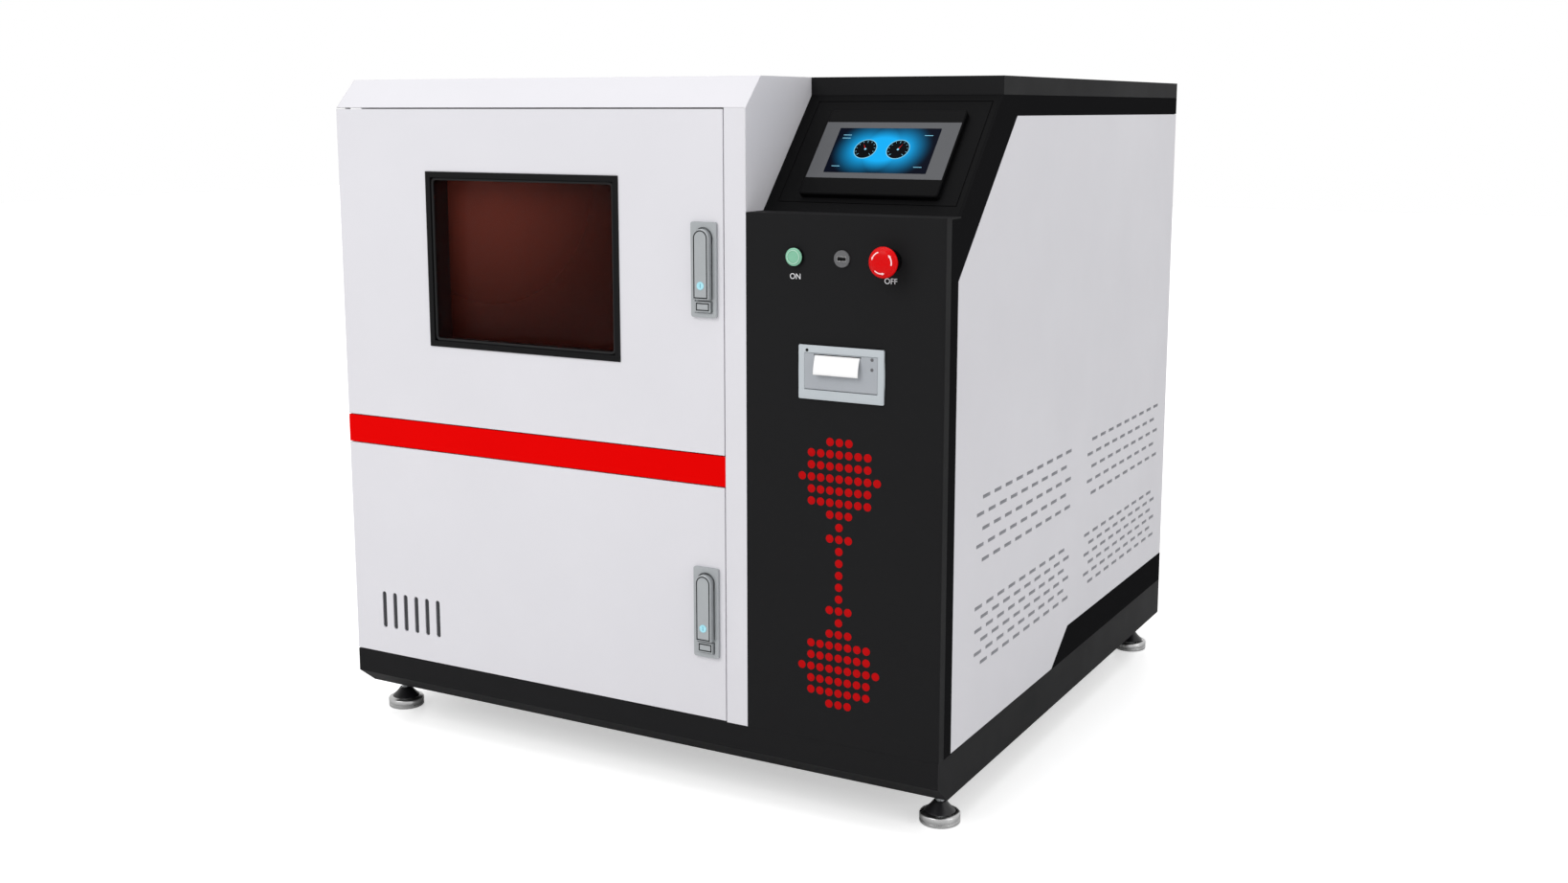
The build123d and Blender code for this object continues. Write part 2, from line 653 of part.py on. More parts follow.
# Humidifying pan on the floor of the plenum
PLENUM_FRONT = BAFFLE_Y + TANK_SHEET
PAN_GAP = 20.0
PAN_HEIGHT = 34.0
with BuildPart() as humidifier_pan:
    block(
        TANK_LEFT + PAN_GAP,
        TANK_RIGHT - PAN_GAP,
        PLENUM_FRONT + PAN_GAP / 2,
        TANK_BACK - PAN_GAP / 2,
        TANK_LOW,
        TANK_LOW + PAN_HEIGHT,
    )
    block(
        TANK_LEFT + PAN_GAP + SHEET,
        TANK_RIGHT - PAN_GAP - SHEET,
        PLENUM_FRONT + PAN_GAP / 2 + SHEET,
        TANK_BACK - PAN_GAP / 2 - SHEET,
        TANK_LOW + SHEET,
        TANK_LOW + PAN_HEIGHT,
        Mode.SUBTRACT,
    )
save(humidifier_pan.part, "humidifier_pan")

# Finned evaporator over the pan, held between the baffle's folded sides
EVAPORATOR_LIFT = 12.0
EVAPORATOR_SETBACK = 24.0
EVAPORATOR_HEIGHT = 80.0
EVAPORATOR_DEPTH = 62.0
EVAPORATOR_CORE = 24.8
EVAPORATOR_FINS = 20
EVAPORATOR_LOW = TANK_LOW + PAN_HEIGHT + EVAPORATOR_LIFT
EVAPORATOR_Y = PLENUM_FRONT + EVAPORATOR_SETBACK
FIN_TOOTH = 0.5
with BuildPart() as evaporator:
    fin_left = TANK_LEFT + TANK_SHEET
    fin_right = TANK_RIGHT - TANK_SHEET
    fin_pitch = (fin_right - fin_left) / EVAPORATOR_FINS
    block(
        fin_left,
        fin_right,
        EVAPORATOR_Y + (EVAPORATOR_DEPTH - EVAPORATOR_CORE) / 2,
        EVAPORATOR_Y + (EVAPORATOR_DEPTH + EVAPORATOR_CORE) / 2,
        EVAPORATOR_LOW,
        EVAPORATOR_LOW + EVAPORATOR_HEIGHT,
    )
    for fin in range(EVAPORATOR_FINS):
        fin_x = fin_left + (fin + 0.5) * fin_pitch
        block(
            fin_x - fin_pitch * FIN_TOOTH / 2,
            fin_x + fin_pitch * FIN_TOOTH / 2,
            EVAPORATOR_Y,
            EVAPORATOR_Y + EVAPORATOR_DEPTH,
            EVAPORATOR_LOW,
            EVAPORATOR_LOW + EVAPORATOR_HEIGHT,
        )
save(evaporator.part, "evaporator")

# Heater: three rods between end plates, over the evaporator
HEATER_RODS = 3
HEATER_ROD_RADIUS = 5.0
HEATER_PLATE = 3.0
HEATER_LIFT = 14.0
HEATER_Z = EVAPORATOR_LOW + EVAPORATOR_HEIGHT + HEATER_LIFT
with BuildPart() as heater:
    for plate_x in (TANK_LEFT + TANK_SHEET, TANK_RIGHT - TANK_SHEET - HEATER_PLATE):
        block(
            plate_x,
            plate_x + HEATER_PLATE,
            EVAPORATOR_Y,
            EVAPORATOR_Y + EVAPORATOR_DEPTH,
            HEATER_Z - HEATER_ROD_RADIUS * 2,
            HEATER_Z + HEATER_ROD_RADIUS * 2,
        )
    for rod in range(HEATER_RODS):
        rod_x(
            HEATER_ROD_RADIUS,
            TANK_LEFT + TANK_SHEET + HEATER_PLATE,
            TANK_RIGHT - TANK_SHEET - HEATER_PLATE,
            EVAPORATOR_Y + (rod + 0.5) * EVAPORATOR_DEPTH / HEATER_RODS,
            HEATER_Z,
        )
save(heater.part, "heater")

# Circulation fan: a centrifugal wheel on the shaft of a motor behind the insulation
WHEEL_FRONT = PLENUM_FRONT + (PLENUM_DEPTH - TANK_SHEET - WHEEL_DEPTH) / 2
WHEEL_DISC = 3.0
WHEEL_HUB_RADIUS = 14.0
BLADE_LENGTH = 24.0
BLADE_THICKNESS = 2.5
BLADE_PITCH_ANGLE = 35.0
BLADE_INSET = 1.0
FAN_BEARING = 20.0
WHEEL_BACK = WHEEL_FRONT + WHEEL_DEPTH
with BuildPart() as circulation_wheel:
    rod_y(WHEEL_RADIUS, TANK_CENTRE_X, WHEEL_BACK - WHEEL_DISC, WHEEL_BACK, WHEEL_CENTRE_Z)
    rod_y(WHEEL_HUB_RADIUS, TANK_CENTRE_X, WHEEL_BACK - WHEEL_DEPTH / 2, WHEEL_BACK, WHEEL_CENTRE_Z)
    rod_y(FAN_SHAFT_RADIUS, TANK_CENTRE_X, WHEEL_BACK, INSULATION_END + FAN_BEARING, WHEEL_CENTRE_Z)
    with BuildSketch(Plane.XZ.offset(-WHEEL_FRONT)):
        with Locations((TANK_CENTRE_X, WHEEL_CENTRE_Z)):
            with PolarLocations(WHEEL_RADIUS - BLADE_LENGTH / 2 - BLADE_INSET, WHEEL_BLADES):
                Rectangle(BLADE_LENGTH, BLADE_THICKNESS, rotation=BLADE_PITCH_ANGLE)
    extrude(amount=-(WHEEL_DEPTH - WHEEL_DISC))
save(circulation_wheel.part, "circulation_wheel")

with BuildPart() as circulation_motor:
    rod_y(FAN_MOTOR_RADIUS, TANK_CENTRE_X, INSULATION_END, INSULATION_END + FAN_MOTOR_LENGTH, WHEEL_CENTRE_Z)
    rod_y(
        FAN_SHAFT_RADIUS + PIN_FIT,
        TANK_CENTRE_X,
        INSULATION_END,
        INSULATION_END + FAN_BEARING + SHEET,
        WHEEL_CENTRE_Z,
        Mode.SUBTRACT,
    )
save(circulation_motor.part, "circulation_motor")

# Wire shelf lying on the tank's rails: two side bars and cross rods
SHELF_GAP = 3.0
SHELF_FRONT = COLLAR_BACK + RAIL
SHELF_BACK = BAFFLE_Y - RAIL
with BuildPart() as wire_shelf:
    for bar_x in (TANK_LEFT + SHELF_GAP, TANK_RIGHT - SHELF_GAP - SHELF_ROD):
        block(bar_x, bar_x + SHELF_ROD, SHELF_FRONT, SHELF_BACK, SHELF_Z, SHELF_Z + SHELF_ROD)
    rod_step = (SHELF_BACK - SHELF_FRONT - SHELF_ROD) / (SHELF_RODS - 1)
    for rod in range(SHELF_RODS):
        rod_y_at = SHELF_FRONT + SHELF_ROD / 2 + rod * rod_step
        with BuildSketch(Plane.YZ.offset(TANK_LEFT + SHELF_GAP + SHELF_ROD)):
            with Locations((rod_y_at, SHELF_Z + SHELF_ROD / 2)):
                RegularPolygon(SHELF_ROD / 2, 6)
        extrude(amount=TANK_WIDTH - 2 * SHELF_GAP - 2 * SHELF_ROD)
save(wire_shelf.part, "wire_shelf")

# Compressor: a domed shell on a foot plate
COMPRESSOR_DOME = 40.0
COMPRESSOR_SHOULDER = 66.0
COMPRESSOR_CROWN = 34.0
COMPRESSOR_PLATE = 6.0
COMPRESSOR_PLATE_SIZE = 190.0
with BuildPart() as compressor:
    plate_half = COMPRESSOR_PLATE_SIZE / 2
    block(
        COMPRESSOR_X - plate_half,
        COMPRESSOR_X + plate_half,
        COMPRESSOR_Y - plate_half,
        COMPRESSOR_Y + plate_half,
        DECK,
        DECK + COMPRESSOR_PLATE,
    )
    shell_low = DECK + COMPRESSOR_PLATE
    shell_high = shell_low + COMPRESSOR_HEIGHT
    with BuildSketch(Plane.XZ.offset(-COMPRESSOR_Y)):
        with BuildLine():
            Polyline(
                (COMPRESSOR_X, shell_low),
                (COMPRESSOR_X + COMPRESSOR_RADIUS, shell_low),
                (COMPRESSOR_X + COMPRESSOR_RADIUS, shell_high - COMPRESSOR_DOME),
                (COMPRESSOR_X + COMPRESSOR_SHOULDER, shell_high - COMPRESSOR_DOME / 3),
                (COMPRESSOR_X + COMPRESSOR_CROWN, shell_high),
                (COMPRESSOR_X, shell_high),
                close=True,
            )
        make_face()
    revolve(axis=Axis((COMPRESSOR_X, COMPRESSOR_Y, 0), (0, 0, 1)))
save(compressor.part, "compressor")

# Condenser: a finned block with its fan shroud, on the tray behind the lower door
CONDENSER_RIGHT = CONDENSER_LEFT + CONDENSER_WIDTH
CONDENSER_TOP = DECK + CONDENSER_HEIGHT
CONDENSER_MID_X = (CONDENSER_LEFT + CONDENSER_RIGHT) / 2
CONDENSER_MID_Z = DECK + CONDENSER_HEIGHT / 2
SHROUD_DEPTH = 34.0
FIN_BACK = CONDENSER_Y + CONDENSER_FIN_DEPTH
SHROUD_FRONT = CONDENSER_Y + CONDENSER_DEPTH
SHROUD_BACK = SHROUD_FRONT + SHROUD_DEPTH
FAN_TIP_GAP = 4.0
ARM_WIDTH = 30.0
ARM_DEPTH = 4.0
ARM_FRONT = SHROUD_BACK + SEAT_GAP
ARM_BACK = ARM_FRONT + ARM_DEPTH
with BuildPart() as condenser:
    block(CONDENSER_LEFT, CONDENSER_RIGHT, FIN_BACK, SHROUD_FRONT, DECK, CONDENSER_TOP)
    fin_pitch = CONDENSER_WIDTH / CONDENSER_FINS
    for fin in range(CONDENSER_FINS):
        fin_x = CONDENSER_LEFT + (fin + 0.5) * fin_pitch
        block(
            fin_x - fin_pitch * FIN_TOOTH / 2,
            fin_x + fin_pitch * FIN_TOOTH / 2,
            CONDENSER_Y,
            FIN_BACK,
            DECK + SHEET,
            CONDENSER_TOP - SHEET,
        )
    block(CONDENSER_LEFT, CONDENSER_RIGHT, SHROUD_FRONT, SHROUD_BACK, DECK, CONDENSER_TOP)
    rod_y(
        COOLING_FAN_RADIUS + FAN_TIP_GAP,
        CONDENSER_MID_X,
        SHROUD_FRONT,
        SHROUD_BACK,
        CONDENSER_MID_Z,
        Mode.SUBTRACT,
    )
    # The fan's motor on a cross arm behind the shroud, a solid of its own
    rod_y(
        COOLING_MOTOR_RADIUS,
        CONDENSER_MID_X,
        ARM_BACK,
        ARM_BACK + COOLING_MOTOR_LENGTH,
        CONDENSER_MID_Z,
    )
    block(
        CONDENSER_LEFT,
        CONDENSER_RIGHT,
        ARM_FRONT,
        ARM_BACK,
        CONDENSER_MID_Z - ARM_WIDTH / 2,
        CONDENSER_MID_Z + ARM_WIDTH / 2,
    )
    rod_y(
        COOLING_SHAFT_RADIUS + PIN_FIT,
        CONDENSER_MID_X,
        ARM_FRONT,
        ARM_BACK + COOLING_MOTOR_LENGTH / 2,
        CONDENSER_MID_Z,
        Mode.SUBTRACT,
    )
save(condenser.part, "condenser")

# Cooling fan: twisted blades on a hub, with the shaft that runs in the motor
FAN_FRONT = SHROUD_FRONT + (SHROUD_DEPTH - COOLING_FAN_DEPTH) / 2
BLADE_CHORD = 58.0
BLADE_ANGLE = 22.0
BLADE_TIP = COOLING_FAN_RADIUS - COOLING_BLADE_INSET
with BuildPart() as cooling_fan:
    rod_y(
        COOLING_HUB_RADIUS,
        CONDENSER_MID_X,
        FAN_FRONT,
        FAN_FRONT + COOLING_FAN_DEPTH,
        CONDENSER_MID_Z,
    )
    rod_y(
        COOLING_SHAFT_RADIUS,
        CONDENSER_MID_X,
        FAN_FRONT + COOLING_FAN_DEPTH,
        ARM_BACK + COOLING_MOTOR_LENGTH / 2 - SHEET,
        CONDENSER_MID_Z,
    )
    hub_middle = Plane(
        origin=(CONDENSER_MID_X, FAN_FRONT + COOLING_FAN_DEPTH / 2, CONDENSER_MID_Z),
        x_dir=(1, 0, 0),
        z_dir=(0, -1, 0),
    )
    with Locations(hub_middle):
        with PolarLocations((COOLING_BLADE_ROOT + BLADE_TIP) / 2, COOLING_FAN_BLADES):
            Box(
                BLADE_TIP - COOLING_BLADE_ROOT,
                BLADE_CHORD,
                BLADE_THICKNESS,
                rotation=(BLADE_ANGLE, 0, 0),
            )
save(cooling_fan.part, "cooling_fan")

# Column front: a folded sheet with the ledge under the console and a short
# return on the right, with holes for the controls, the printer and the dots
COVER_LEFT = PRINTER_LEFT + PRINTER_BORDER_X
COVER_RIGHT = PRINTER_LEFT + PRINTER_WIDTH - PRINTER_BORDER_X
PRINTER_HIGH = PRINTER_LOW + PRINTER_HEIGHT
PRINTER_LIP = 4.0
with BuildPart() as column_front:
    with BuildSketch(Plane.XY.offset(SKIRT_TOP)):
        Polygon(
            (SPLIT, FRONT),
            (RIGHT, FRONT),
            (RIGHT, FRONT + COLUMN_RETURN),
            (RIGHT - SHEET, FRONT + COLUMN_RETURN),
            (RIGHT - SHEET, FRONT + SHEET),
            (SPLIT, FRONT + SHEET),
            align=None,
        )
    extrude(amount=LEDGE_Z - SKIRT_TOP)
    block(SPLIT, RIGHT, FRONT, CONSOLE_FOOT_Y, LEDGE_Z - SHEET, LEDGE_Z)
    bend = column_front.edges().filter_by(Axis.Z).sort_by(Axis.X).group_by(Axis.X)[-1].sort_by(Axis.Y)[0]
    fillet(bend, COLUMN_BEND)
    with BuildSketch(Plane.XZ.offset(-FRONT)):
        for hole_x, hole_radius in (
            (POWER_X, CONTROL_BODY_RADIUS),
            (USB_X, USB_BODY_RADIUS),
            (ESTOP_X, CONTROL_BODY_RADIUS),
        ):
            with Locations((hole_x, CONTROL_Z)):
                Circle(hole_radius)
        with Locations((PRINTER_LEFT + PRINTER_WIDTH / 2, PRINTER_LOW + PRINTER_HEIGHT / 2)):
            Rectangle(PRINTER_WIDTH - 2 * PRINTER_LIP, PRINTER_HEIGHT - 2 * PRINTER_LIP)
        for row, dots in enumerate(DOT_ROWS):
            with Locations((DOT_CENTRE_X, DOT_TOP_Z - row * DOT_PITCH_Z)):
                with GridLocations(DOT_PITCH_X, 0, dots, 1):
                    RegularPolygon(DOT_RADIUS, DOT_SIDES)
    extrude(amount=-SHEET, mode=Mode.SUBTRACT)
save(column_front.part, "column_front")

# Red sheet behind the dots
with BuildPart() as dot_backing:
    backing_half = DOT_PITCH_X * (max(DOT_ROWS) - 1) / 2 + DOT_RADIUS + DOT_BACKING_MARGIN
    block(
        DOT_CENTRE_X - backing_half,
        DOT_CENTRE_X + backing_half,
        FRONT + SHEET,
        FRONT + SHEET + DOT_BACKING,
        SKIRT_TOP + DOT_BACKING_RISE,
        DOT_TOP_Z + DOT_RADIUS + DOT_BACKING_MARGIN,
    )
save(dot_backing.part, "dot_backing")

# Slanted console sheet with a fine groove around the operator panel
HMI_BODY_WIDTH = HMI_WIDTH - 2 * HMI_BODY_MARGIN
HMI_BODY_HEIGHT = HMI_HEIGHT - 2 * HMI_BODY_MARGIN
with BuildPart() as console_panel:
    with BuildSketch(SLOPE):
        with Locations(((INNER_RIGHT - SPLIT) / 2, CONSOLE_RUN / 2)):
            Rectangle(INNER_RIGHT - SPLIT, CONSOLE_RUN)
        with Locations((HMI_ACROSS, HMI_UP)):
            Rectangle(HMI_BODY_WIDTH, HMI_BODY_HEIGHT, mode=Mode.SUBTRACT)
    extrude(amount=-SHEET)
    with BuildSketch(SLOPE):
        with Locations((GROOVE_ACROSS, GROOVE_UP)):
            Rectangle(GROOVE_WIDTH, GROOVE_HEIGHT)
            Rectangle(GROOVE_WIDTH - 2 * GROOVE, GROOVE_HEIGHT - 2 * GROOVE, mode=Mode.SUBTRACT)
    extrude(amount=-SHEET / 2, mode=Mode.SUBTRACT)
save(console_panel.part, "console_panel")

# Operator panel: bezel over the console, body behind it, glass in a recess
with BuildPart() as hmi_housing:
    with BuildSketch(SLOPE):
        with Locations((HMI_ACROSS, HMI_UP)):
            RectangleRounded(HMI_WIDTH, HMI_HEIGHT, HMI_CORNER)
    extrude(amount=HMI_PROUD)
    chamfer(hmi_housing.faces().sort_by(Axis(SLOPE.origin, SLOPE.z_dir))[-1].edges(), HMI_EDGE)
    with BuildSketch(SLOPE):
        with Locations((HMI_ACROSS, HMI_UP)):
            Rectangle(HMI_BODY_WIDTH, HMI_BODY_HEIGHT)
    extrude(amount=-HMI_BODY_DEPTH)
    with BuildSketch(SLOPE.offset(HMI_PROUD)):
        with Locations((HMI_ACROSS, SCREEN_UP)):
            Rectangle(SCREEN_WIDTH, SCREEN_HEIGHT)
    extrude(amount=-SCREEN_GLASS, mode=Mode.SUBTRACT)
save(hmi_housing.part, "hmi_housing")

with BuildPart() as hmi_screen:
    with BuildSketch(SLOPE.offset(HMI_PROUD - SCREEN_GLASS)):
        with Locations((HMI_ACROSS, SCREEN_UP)):
            Rectangle(SCREEN_WIDTH, SCREEN_HEIGHT)
    extrude(amount=SCREEN_GLASS)
save(hmi_screen.part, "hmi_screen")


def panel_outline(inset):
    """Corners of the white side panel, drawn in by the inset, as (y, z)."""
    bend = PANEL_BEND_BACK - PANEL_FRONT
    rise = PANEL_TOP_Z - PANEL_BEND_Z
    upper = inset * tan(atan2(rise, bend) / 2)
    step = atan2(PANEL_LOW_RISE - SKIRT_HEIGHT, PANEL_STEP_BACK - PANEL_STEP_FRONT)
    lower = inset * tan(step / 2)
    side = inset * tan((radians(90) - atan2(rise, bend)) / 2)
    return (
        (FRONT + PANEL_FRONT + inset, SKIRT_TOP + inset),
        (FRONT + PANEL_FRONT + inset, PANEL_BEND_Z - side),
        (FRONT + PANEL_BEND_BACK + upper, PANEL_TOP_Z - inset),
        (BACK - inset, PANEL_TOP_Z - inset),
        (BACK - inset, BASE + PANEL_LOW_RISE + inset),
        (FRONT + PANEL_STEP_BACK - lower, BASE + PANEL_LOW_RISE + inset),
        (FRONT + PANEL_STEP_FRONT - lower, SKIRT_TOP + inset),
    )


# Black side frame: the column's profile, rebated around the white panel
with BuildPart() as side_frame:
    with BuildSketch(Plane.YZ.offset(INNER_RIGHT)):
        with BuildLine():
            Polyline(
                (FRONT + SHEET, SKIRT_TOP),
                (FRONT + SHEET, LEDGE_Z - SHEET),
                (CONSOLE_FOOT_Y, LEDGE_Z - SHEET),
                (CONSOLE_FOOT_Y, LEDGE_Z),
                (CONSOLE_HEAD_Y, CONSOLE_HEAD_Z),
                (BACK, CONSOLE_HEAD_Z),
                (BACK, SKIRT_TOP),
                close=True,
            )
        make_face()
    extrude(amount=SIDE_SHEET)
    block(RIGHT - SHEET, RIGHT, FRONT, FRONT + COLUMN_RETURN, SKIRT_TOP, LEDGE_Z, Mode.SUBTRACT)
    with BuildSketch(Plane.YZ.offset(RIGHT - SHEET)):
        Polygon(*panel_outline(0), align=None)
    extrude(amount=SHEET, mode=Mode.SUBTRACT)
    with BuildSketch(Plane.YZ.offset(INNER_RIGHT)):
        Polygon(*panel_outline(PANEL_REBATE), align=None)
    extrude(amount=SIDE_SHEET - SHEET, mode=Mode.SUBTRACT)
save(side_frame.part, "side_frame")

# White side panel with its four fields of louvre slots
with BuildPart() as side_panel:
    with BuildSketch(Plane.YZ.offset(RIGHT - SHEET)):
        Polygon(*panel_outline(PANEL_GAP), align=None)
        for field, rise, step, rows in (
            ("upper", UPPER_LOUVRE_RISE, UPPER_LOUVRE_STEP, UPPER_LOUVRE_ROWS),
            ("lower", LOWER_LOUVRE_RISE, LOWER_LOUVRE_STEP, LOWER_LOUVRE_ROWS),
        ):
            front_start, back_start, shift = LOUVRE_STARTS[field]
            back_count = int((DEPTH - LOUVRE_END - back_start) / LOUVRE_PITCH) + 1
            for row in range(rows):
                for start, slots in ((front_start, LOUVRE_COUNT), (back_start, back_count)):
                    first = start + (shift if row % 2 else 0)
                    middle = first + (slots - 1) / 2 * LOUVRE_PITCH
                    with Locations((FRONT + middle, BASE + rise - row * step)):
                        with GridLocations(LOUVRE_PITCH, 0, slots, 1):
                            Rectangle(LOUVRE_LENGTH, LOUVRE_HEIGHT, mode=Mode.SUBTRACT)
    extrude(amount=SHEET)
save(side_panel.part, "side_panel")

# Top cover of the column with its front and side lips
with BuildPart() as top_cover:
    block(SPLIT, RIGHT, CONSOLE_HEAD_Y, BACK, CONSOLE_HEAD_Z, TOP)
    block(
        SPLIT,
        RIGHT - SHEET,
        CONSOLE_HEAD_Y + SHEET,
        BACK,
        CONSOLE_HEAD_Z,
        TOP - SHEET,
        Mode.SUBTRACT,
    )
save(top_cover.part, "top_cover")

# Rear panel between the walls, with exhaust slots and holes for the fittings
DRAIN_Z = BASE + DRAIN_RISE
GLAND_Z = BASE + GLAND_RISE
with BuildPart() as rear_panel:
    with BuildSketch(Plane.XZ.offset(-BACK)):
        Polygon(
            (LEFT + SHEET, SKIRT_TOP),
            (INNER_RIGHT, SKIRT_TOP),
            (INNER_RIGHT, TOP - SHEET),
            (LEFT + SHEET, TOP - SHEET),
            align=None,
        )
        with Locations((DRAIN_X, DRAIN_Z)):
            Circle(DRAIN_RADIUS, mode=Mode.SUBTRACT)
        with Locations((GLAND_X, GLAND_Z)):
            Circle(GLAND_RADIUS, mode=Mode.SUBTRACT)
        for slots_x, slots_length in (
            ((LEFT + SPLIT) / 2 + REAR_SLOT_LENGTH / 4, REAR_SLOT_LENGTH),
            ((SPLIT + RIGHT) / 2, COLUMN_WIDTH / 2),
        ):
            with Locations((slots_x, BASE + REAR_SLOT_RISE + REAR_SLOTS / 2 * REAR_SLOT_PITCH)):
                with GridLocations(0, REAR_SLOT_PITCH, 1, REAR_SLOTS):
                    Rectangle(slots_length, REAR_SLOT_HEIGHT, mode=Mode.SUBTRACT)
    extrude(amount=SHEET)
save(rear_panel.part, "rear_panel")

# Rear fittings: the drain spigot and the cable gland, each with a flange on both sides
FITTING_FLANGE = 4.0
with BuildPart() as rear_fittings:
    for fitting_x, fitting_z, radius, bore, length in (
        (DRAIN_X, DRAIN_Z, DRAIN_RADIUS, DRAIN_BORE, DRAIN_LENGTH),
        (GLAND_X, GLAND_Z, GLAND_RADIUS, GLAND_BORE, GLAND_LENGTH),
    ):
        rod_y(radius, fitting_x, BACK - SHEET, BACK + length, fitting_z)
        rod_y(radius + FITTING_FLANGE, fitting_x, BACK - SHEET - FITTING_FLANGE, BACK - SHEET, fitting_z)
        rod_y(radius + FITTING_FLANGE, fitting_x, BACK, BACK + FITTING_FLANGE, fitting_z)
        rod_y(bore, fitting_x, BACK - SHEET - FITTING_FLANGE, BACK + length, fitting_z, Mode.SUBTRACT)
save(rear_fittings.part, "rear_fittings")

# Electrical plate on the partition, a tray turned to it, and its devices
PLATE_STAND = 14.0
PLATE_INSET = 120.0
PLATE_RISE = 140.0
PLATE_DROP = 110.0
PLATE_LOW = BASE + PLATE_RISE
PLATE_HIGH = TOP - PLATE_DROP
# rows of devices: height of the row, then length, height and depth of each device
DEVICE_ROWS = (
    (PLATE_HIGH - 200.0, ((60.0, 110.0, 70.0),) * 2 + ((150.0, 100.0, 48.0), (160.0, 120.0, 90.0))),
    (PLATE_HIGH - 410.0, ((45.0, 85.0, 80.0),) * 5 + ((72.0, 90.0, 66.0),)),
    (PLATE_HIGH - 580.0, ((320.0, 46.0, 40.0), (110.0, 90.0, 60.0))),
)
DEVICE_GAP = 22.0
with BuildPart() as electrical_panel:
    block(
        SPLIT,
        SPLIT + PLATE_STAND + SHEET,
        FRONT + PLATE_INSET,
        BACK - PLATE_INSET,
        PLATE_LOW,
        PLATE_HIGH,
    )
    block(
        SPLIT,
        SPLIT + PLATE_STAND,
        FRONT + PLATE_INSET + SHEET,
        BACK - PLATE_INSET - SHEET,
        PLATE_LOW + SHEET,
        PLATE_HIGH - SHEET,
        Mode.SUBTRACT,
    )
    device_x = SPLIT + PLATE_STAND + SHEET + SEAT_GAP
    for row_z, devices in DEVICE_ROWS:
        device_y = FRONT + PLATE_INSET + DEVICE_GAP
        for length, height, depth in devices:
            block(
                device_x,
                device_x + depth,
                device_y,
                device_y + length,
                row_z - height / 2,
                row_z + height / 2,
            )
            device_y += length + DEVICE_GAP
save(electrical_panel.part, "electrical_panel")

# Power button: ring and body in the panel, with a cap that is pressed in
CAP_BACK = FRONT - POWER_RING_PROUD - POWER_TRAVEL - SEAT_GAP
with BuildPart() as power_ring:
    rod_y(POWER_RING_RADIUS, POWER_X, FRONT - POWER_RING_PROUD, FRONT, CONTROL_Z)
    rod_y(CONTROL_BODY_RADIUS, POWER_X, FRONT, FRONT + POWER_BODY_DEPTH, CONTROL_Z)
    rod_y(
        POWER_STEM_RADIUS + SLIDE_FIT,
        POWER_X,
        FRONT - POWER_RING_PROUD,
        FRONT + POWER_STEM_DEPTH + POWER_TRAVEL + SEAT_GAP,
        CONTROL_Z,
        Mode.SUBTRACT,
    )
save(power_ring.part, "power_ring")

with BuildPart() as power_cap:
    rod_y(POWER_CAP_RADIUS, POWER_X, CAP_BACK - POWER_CAP_DEPTH, CAP_BACK, CONTROL_Z)
    chamfer(power_cap.faces().sort_by(Axis.Y)[0].edges(), POWER_CAP_EDGE)
    rod_y(POWER_STEM_RADIUS, POWER_X, CAP_BACK, FRONT + POWER_STEM_DEPTH, CONTROL_Z)
save(power_cap.part, "power_cap")

# USB socket: a round body with a rectangular mouth and its tongue
with BuildPart() as usb_socket:
    mouth_width, mouth_height = USB_MOUTH
    rod_y(USB_RADIUS, USB_X, FRONT - USB_PROUD, FRONT, CONTROL_Z)
    rod_y(USB_BODY_RADIUS, USB_X, FRONT, FRONT + POWER_BODY_DEPTH, CONTROL_Z)
    block(
        USB_X - mouth_width / 2,
        USB_X + mouth_width / 2,
        FRONT - USB_PROUD,
        FRONT - USB_PROUD + USB_MOUTH_DEPTH,
        CONTROL_Z - mouth_height / 2,
        CONTROL_Z + mouth_height / 2,
        Mode.SUBTRACT,
    )
    block(
        USB_X - mouth_width / 2 + USB_TONGUE_SIDE,
        USB_X + mouth_width / 2 - USB_TONGUE_SIDE,
        FRONT - USB_PROUD + USB_TONGUE_SETBACK,
        FRONT - USB_PROUD + USB_MOUTH_DEPTH,
        CONTROL_Z,
        CONTROL_Z + mouth_height / 2 - USB_TONGUE_TOP,
    )
save(usb_socket.part, "usb_socket")

# Emergency stop: collar in the panel, stem that slides, head that twists on it
HEAD_BACK = FRONT - ESTOP_RING_PROUD - ESTOP_GAP
HEAD_FRONT = HEAD_BACK - ESTOP_HEAD_DEPTH
STEM_END = FRONT + ESTOP_BODY_DEPTH / 4
with BuildPart() as estop_collar:
    rod_y(ESTOP_RING_RADIUS, ESTOP_X, FRONT - ESTOP_RING_PROUD, FRONT, CONTROL_Z)
    rod_y(CONTROL_BODY_RADIUS, ESTOP_X, FRONT, FRONT + ESTOP_BODY_DEPTH, CONTROL_Z)
    rod_y(
        ESTOP_STEM_RADIUS + SLIDE_FIT,
        ESTOP_X,
        FRONT - ESTOP_RING_PROUD,
        STEM_END + ESTOP_TRAVEL + SEAT_GAP,
        CONTROL_Z,
        Mode.SUBTRACT,
    )
save(estop_collar.part, "estop_collar")

with BuildPart() as estop_stem:
    rod_y(ESTOP_STEM_RADIUS, ESTOP_X, HEAD_BACK + SEAT_GAP, STEM_END, CONTROL_Z)
    rod_y(ESTOP_SPIGOT_RADIUS, ESTOP_X, HEAD_BACK - ESTOP_SPIGOT, HEAD_BACK + SEAT_GAP, CONTROL_Z)
save(estop_stem.part, "estop_stem")

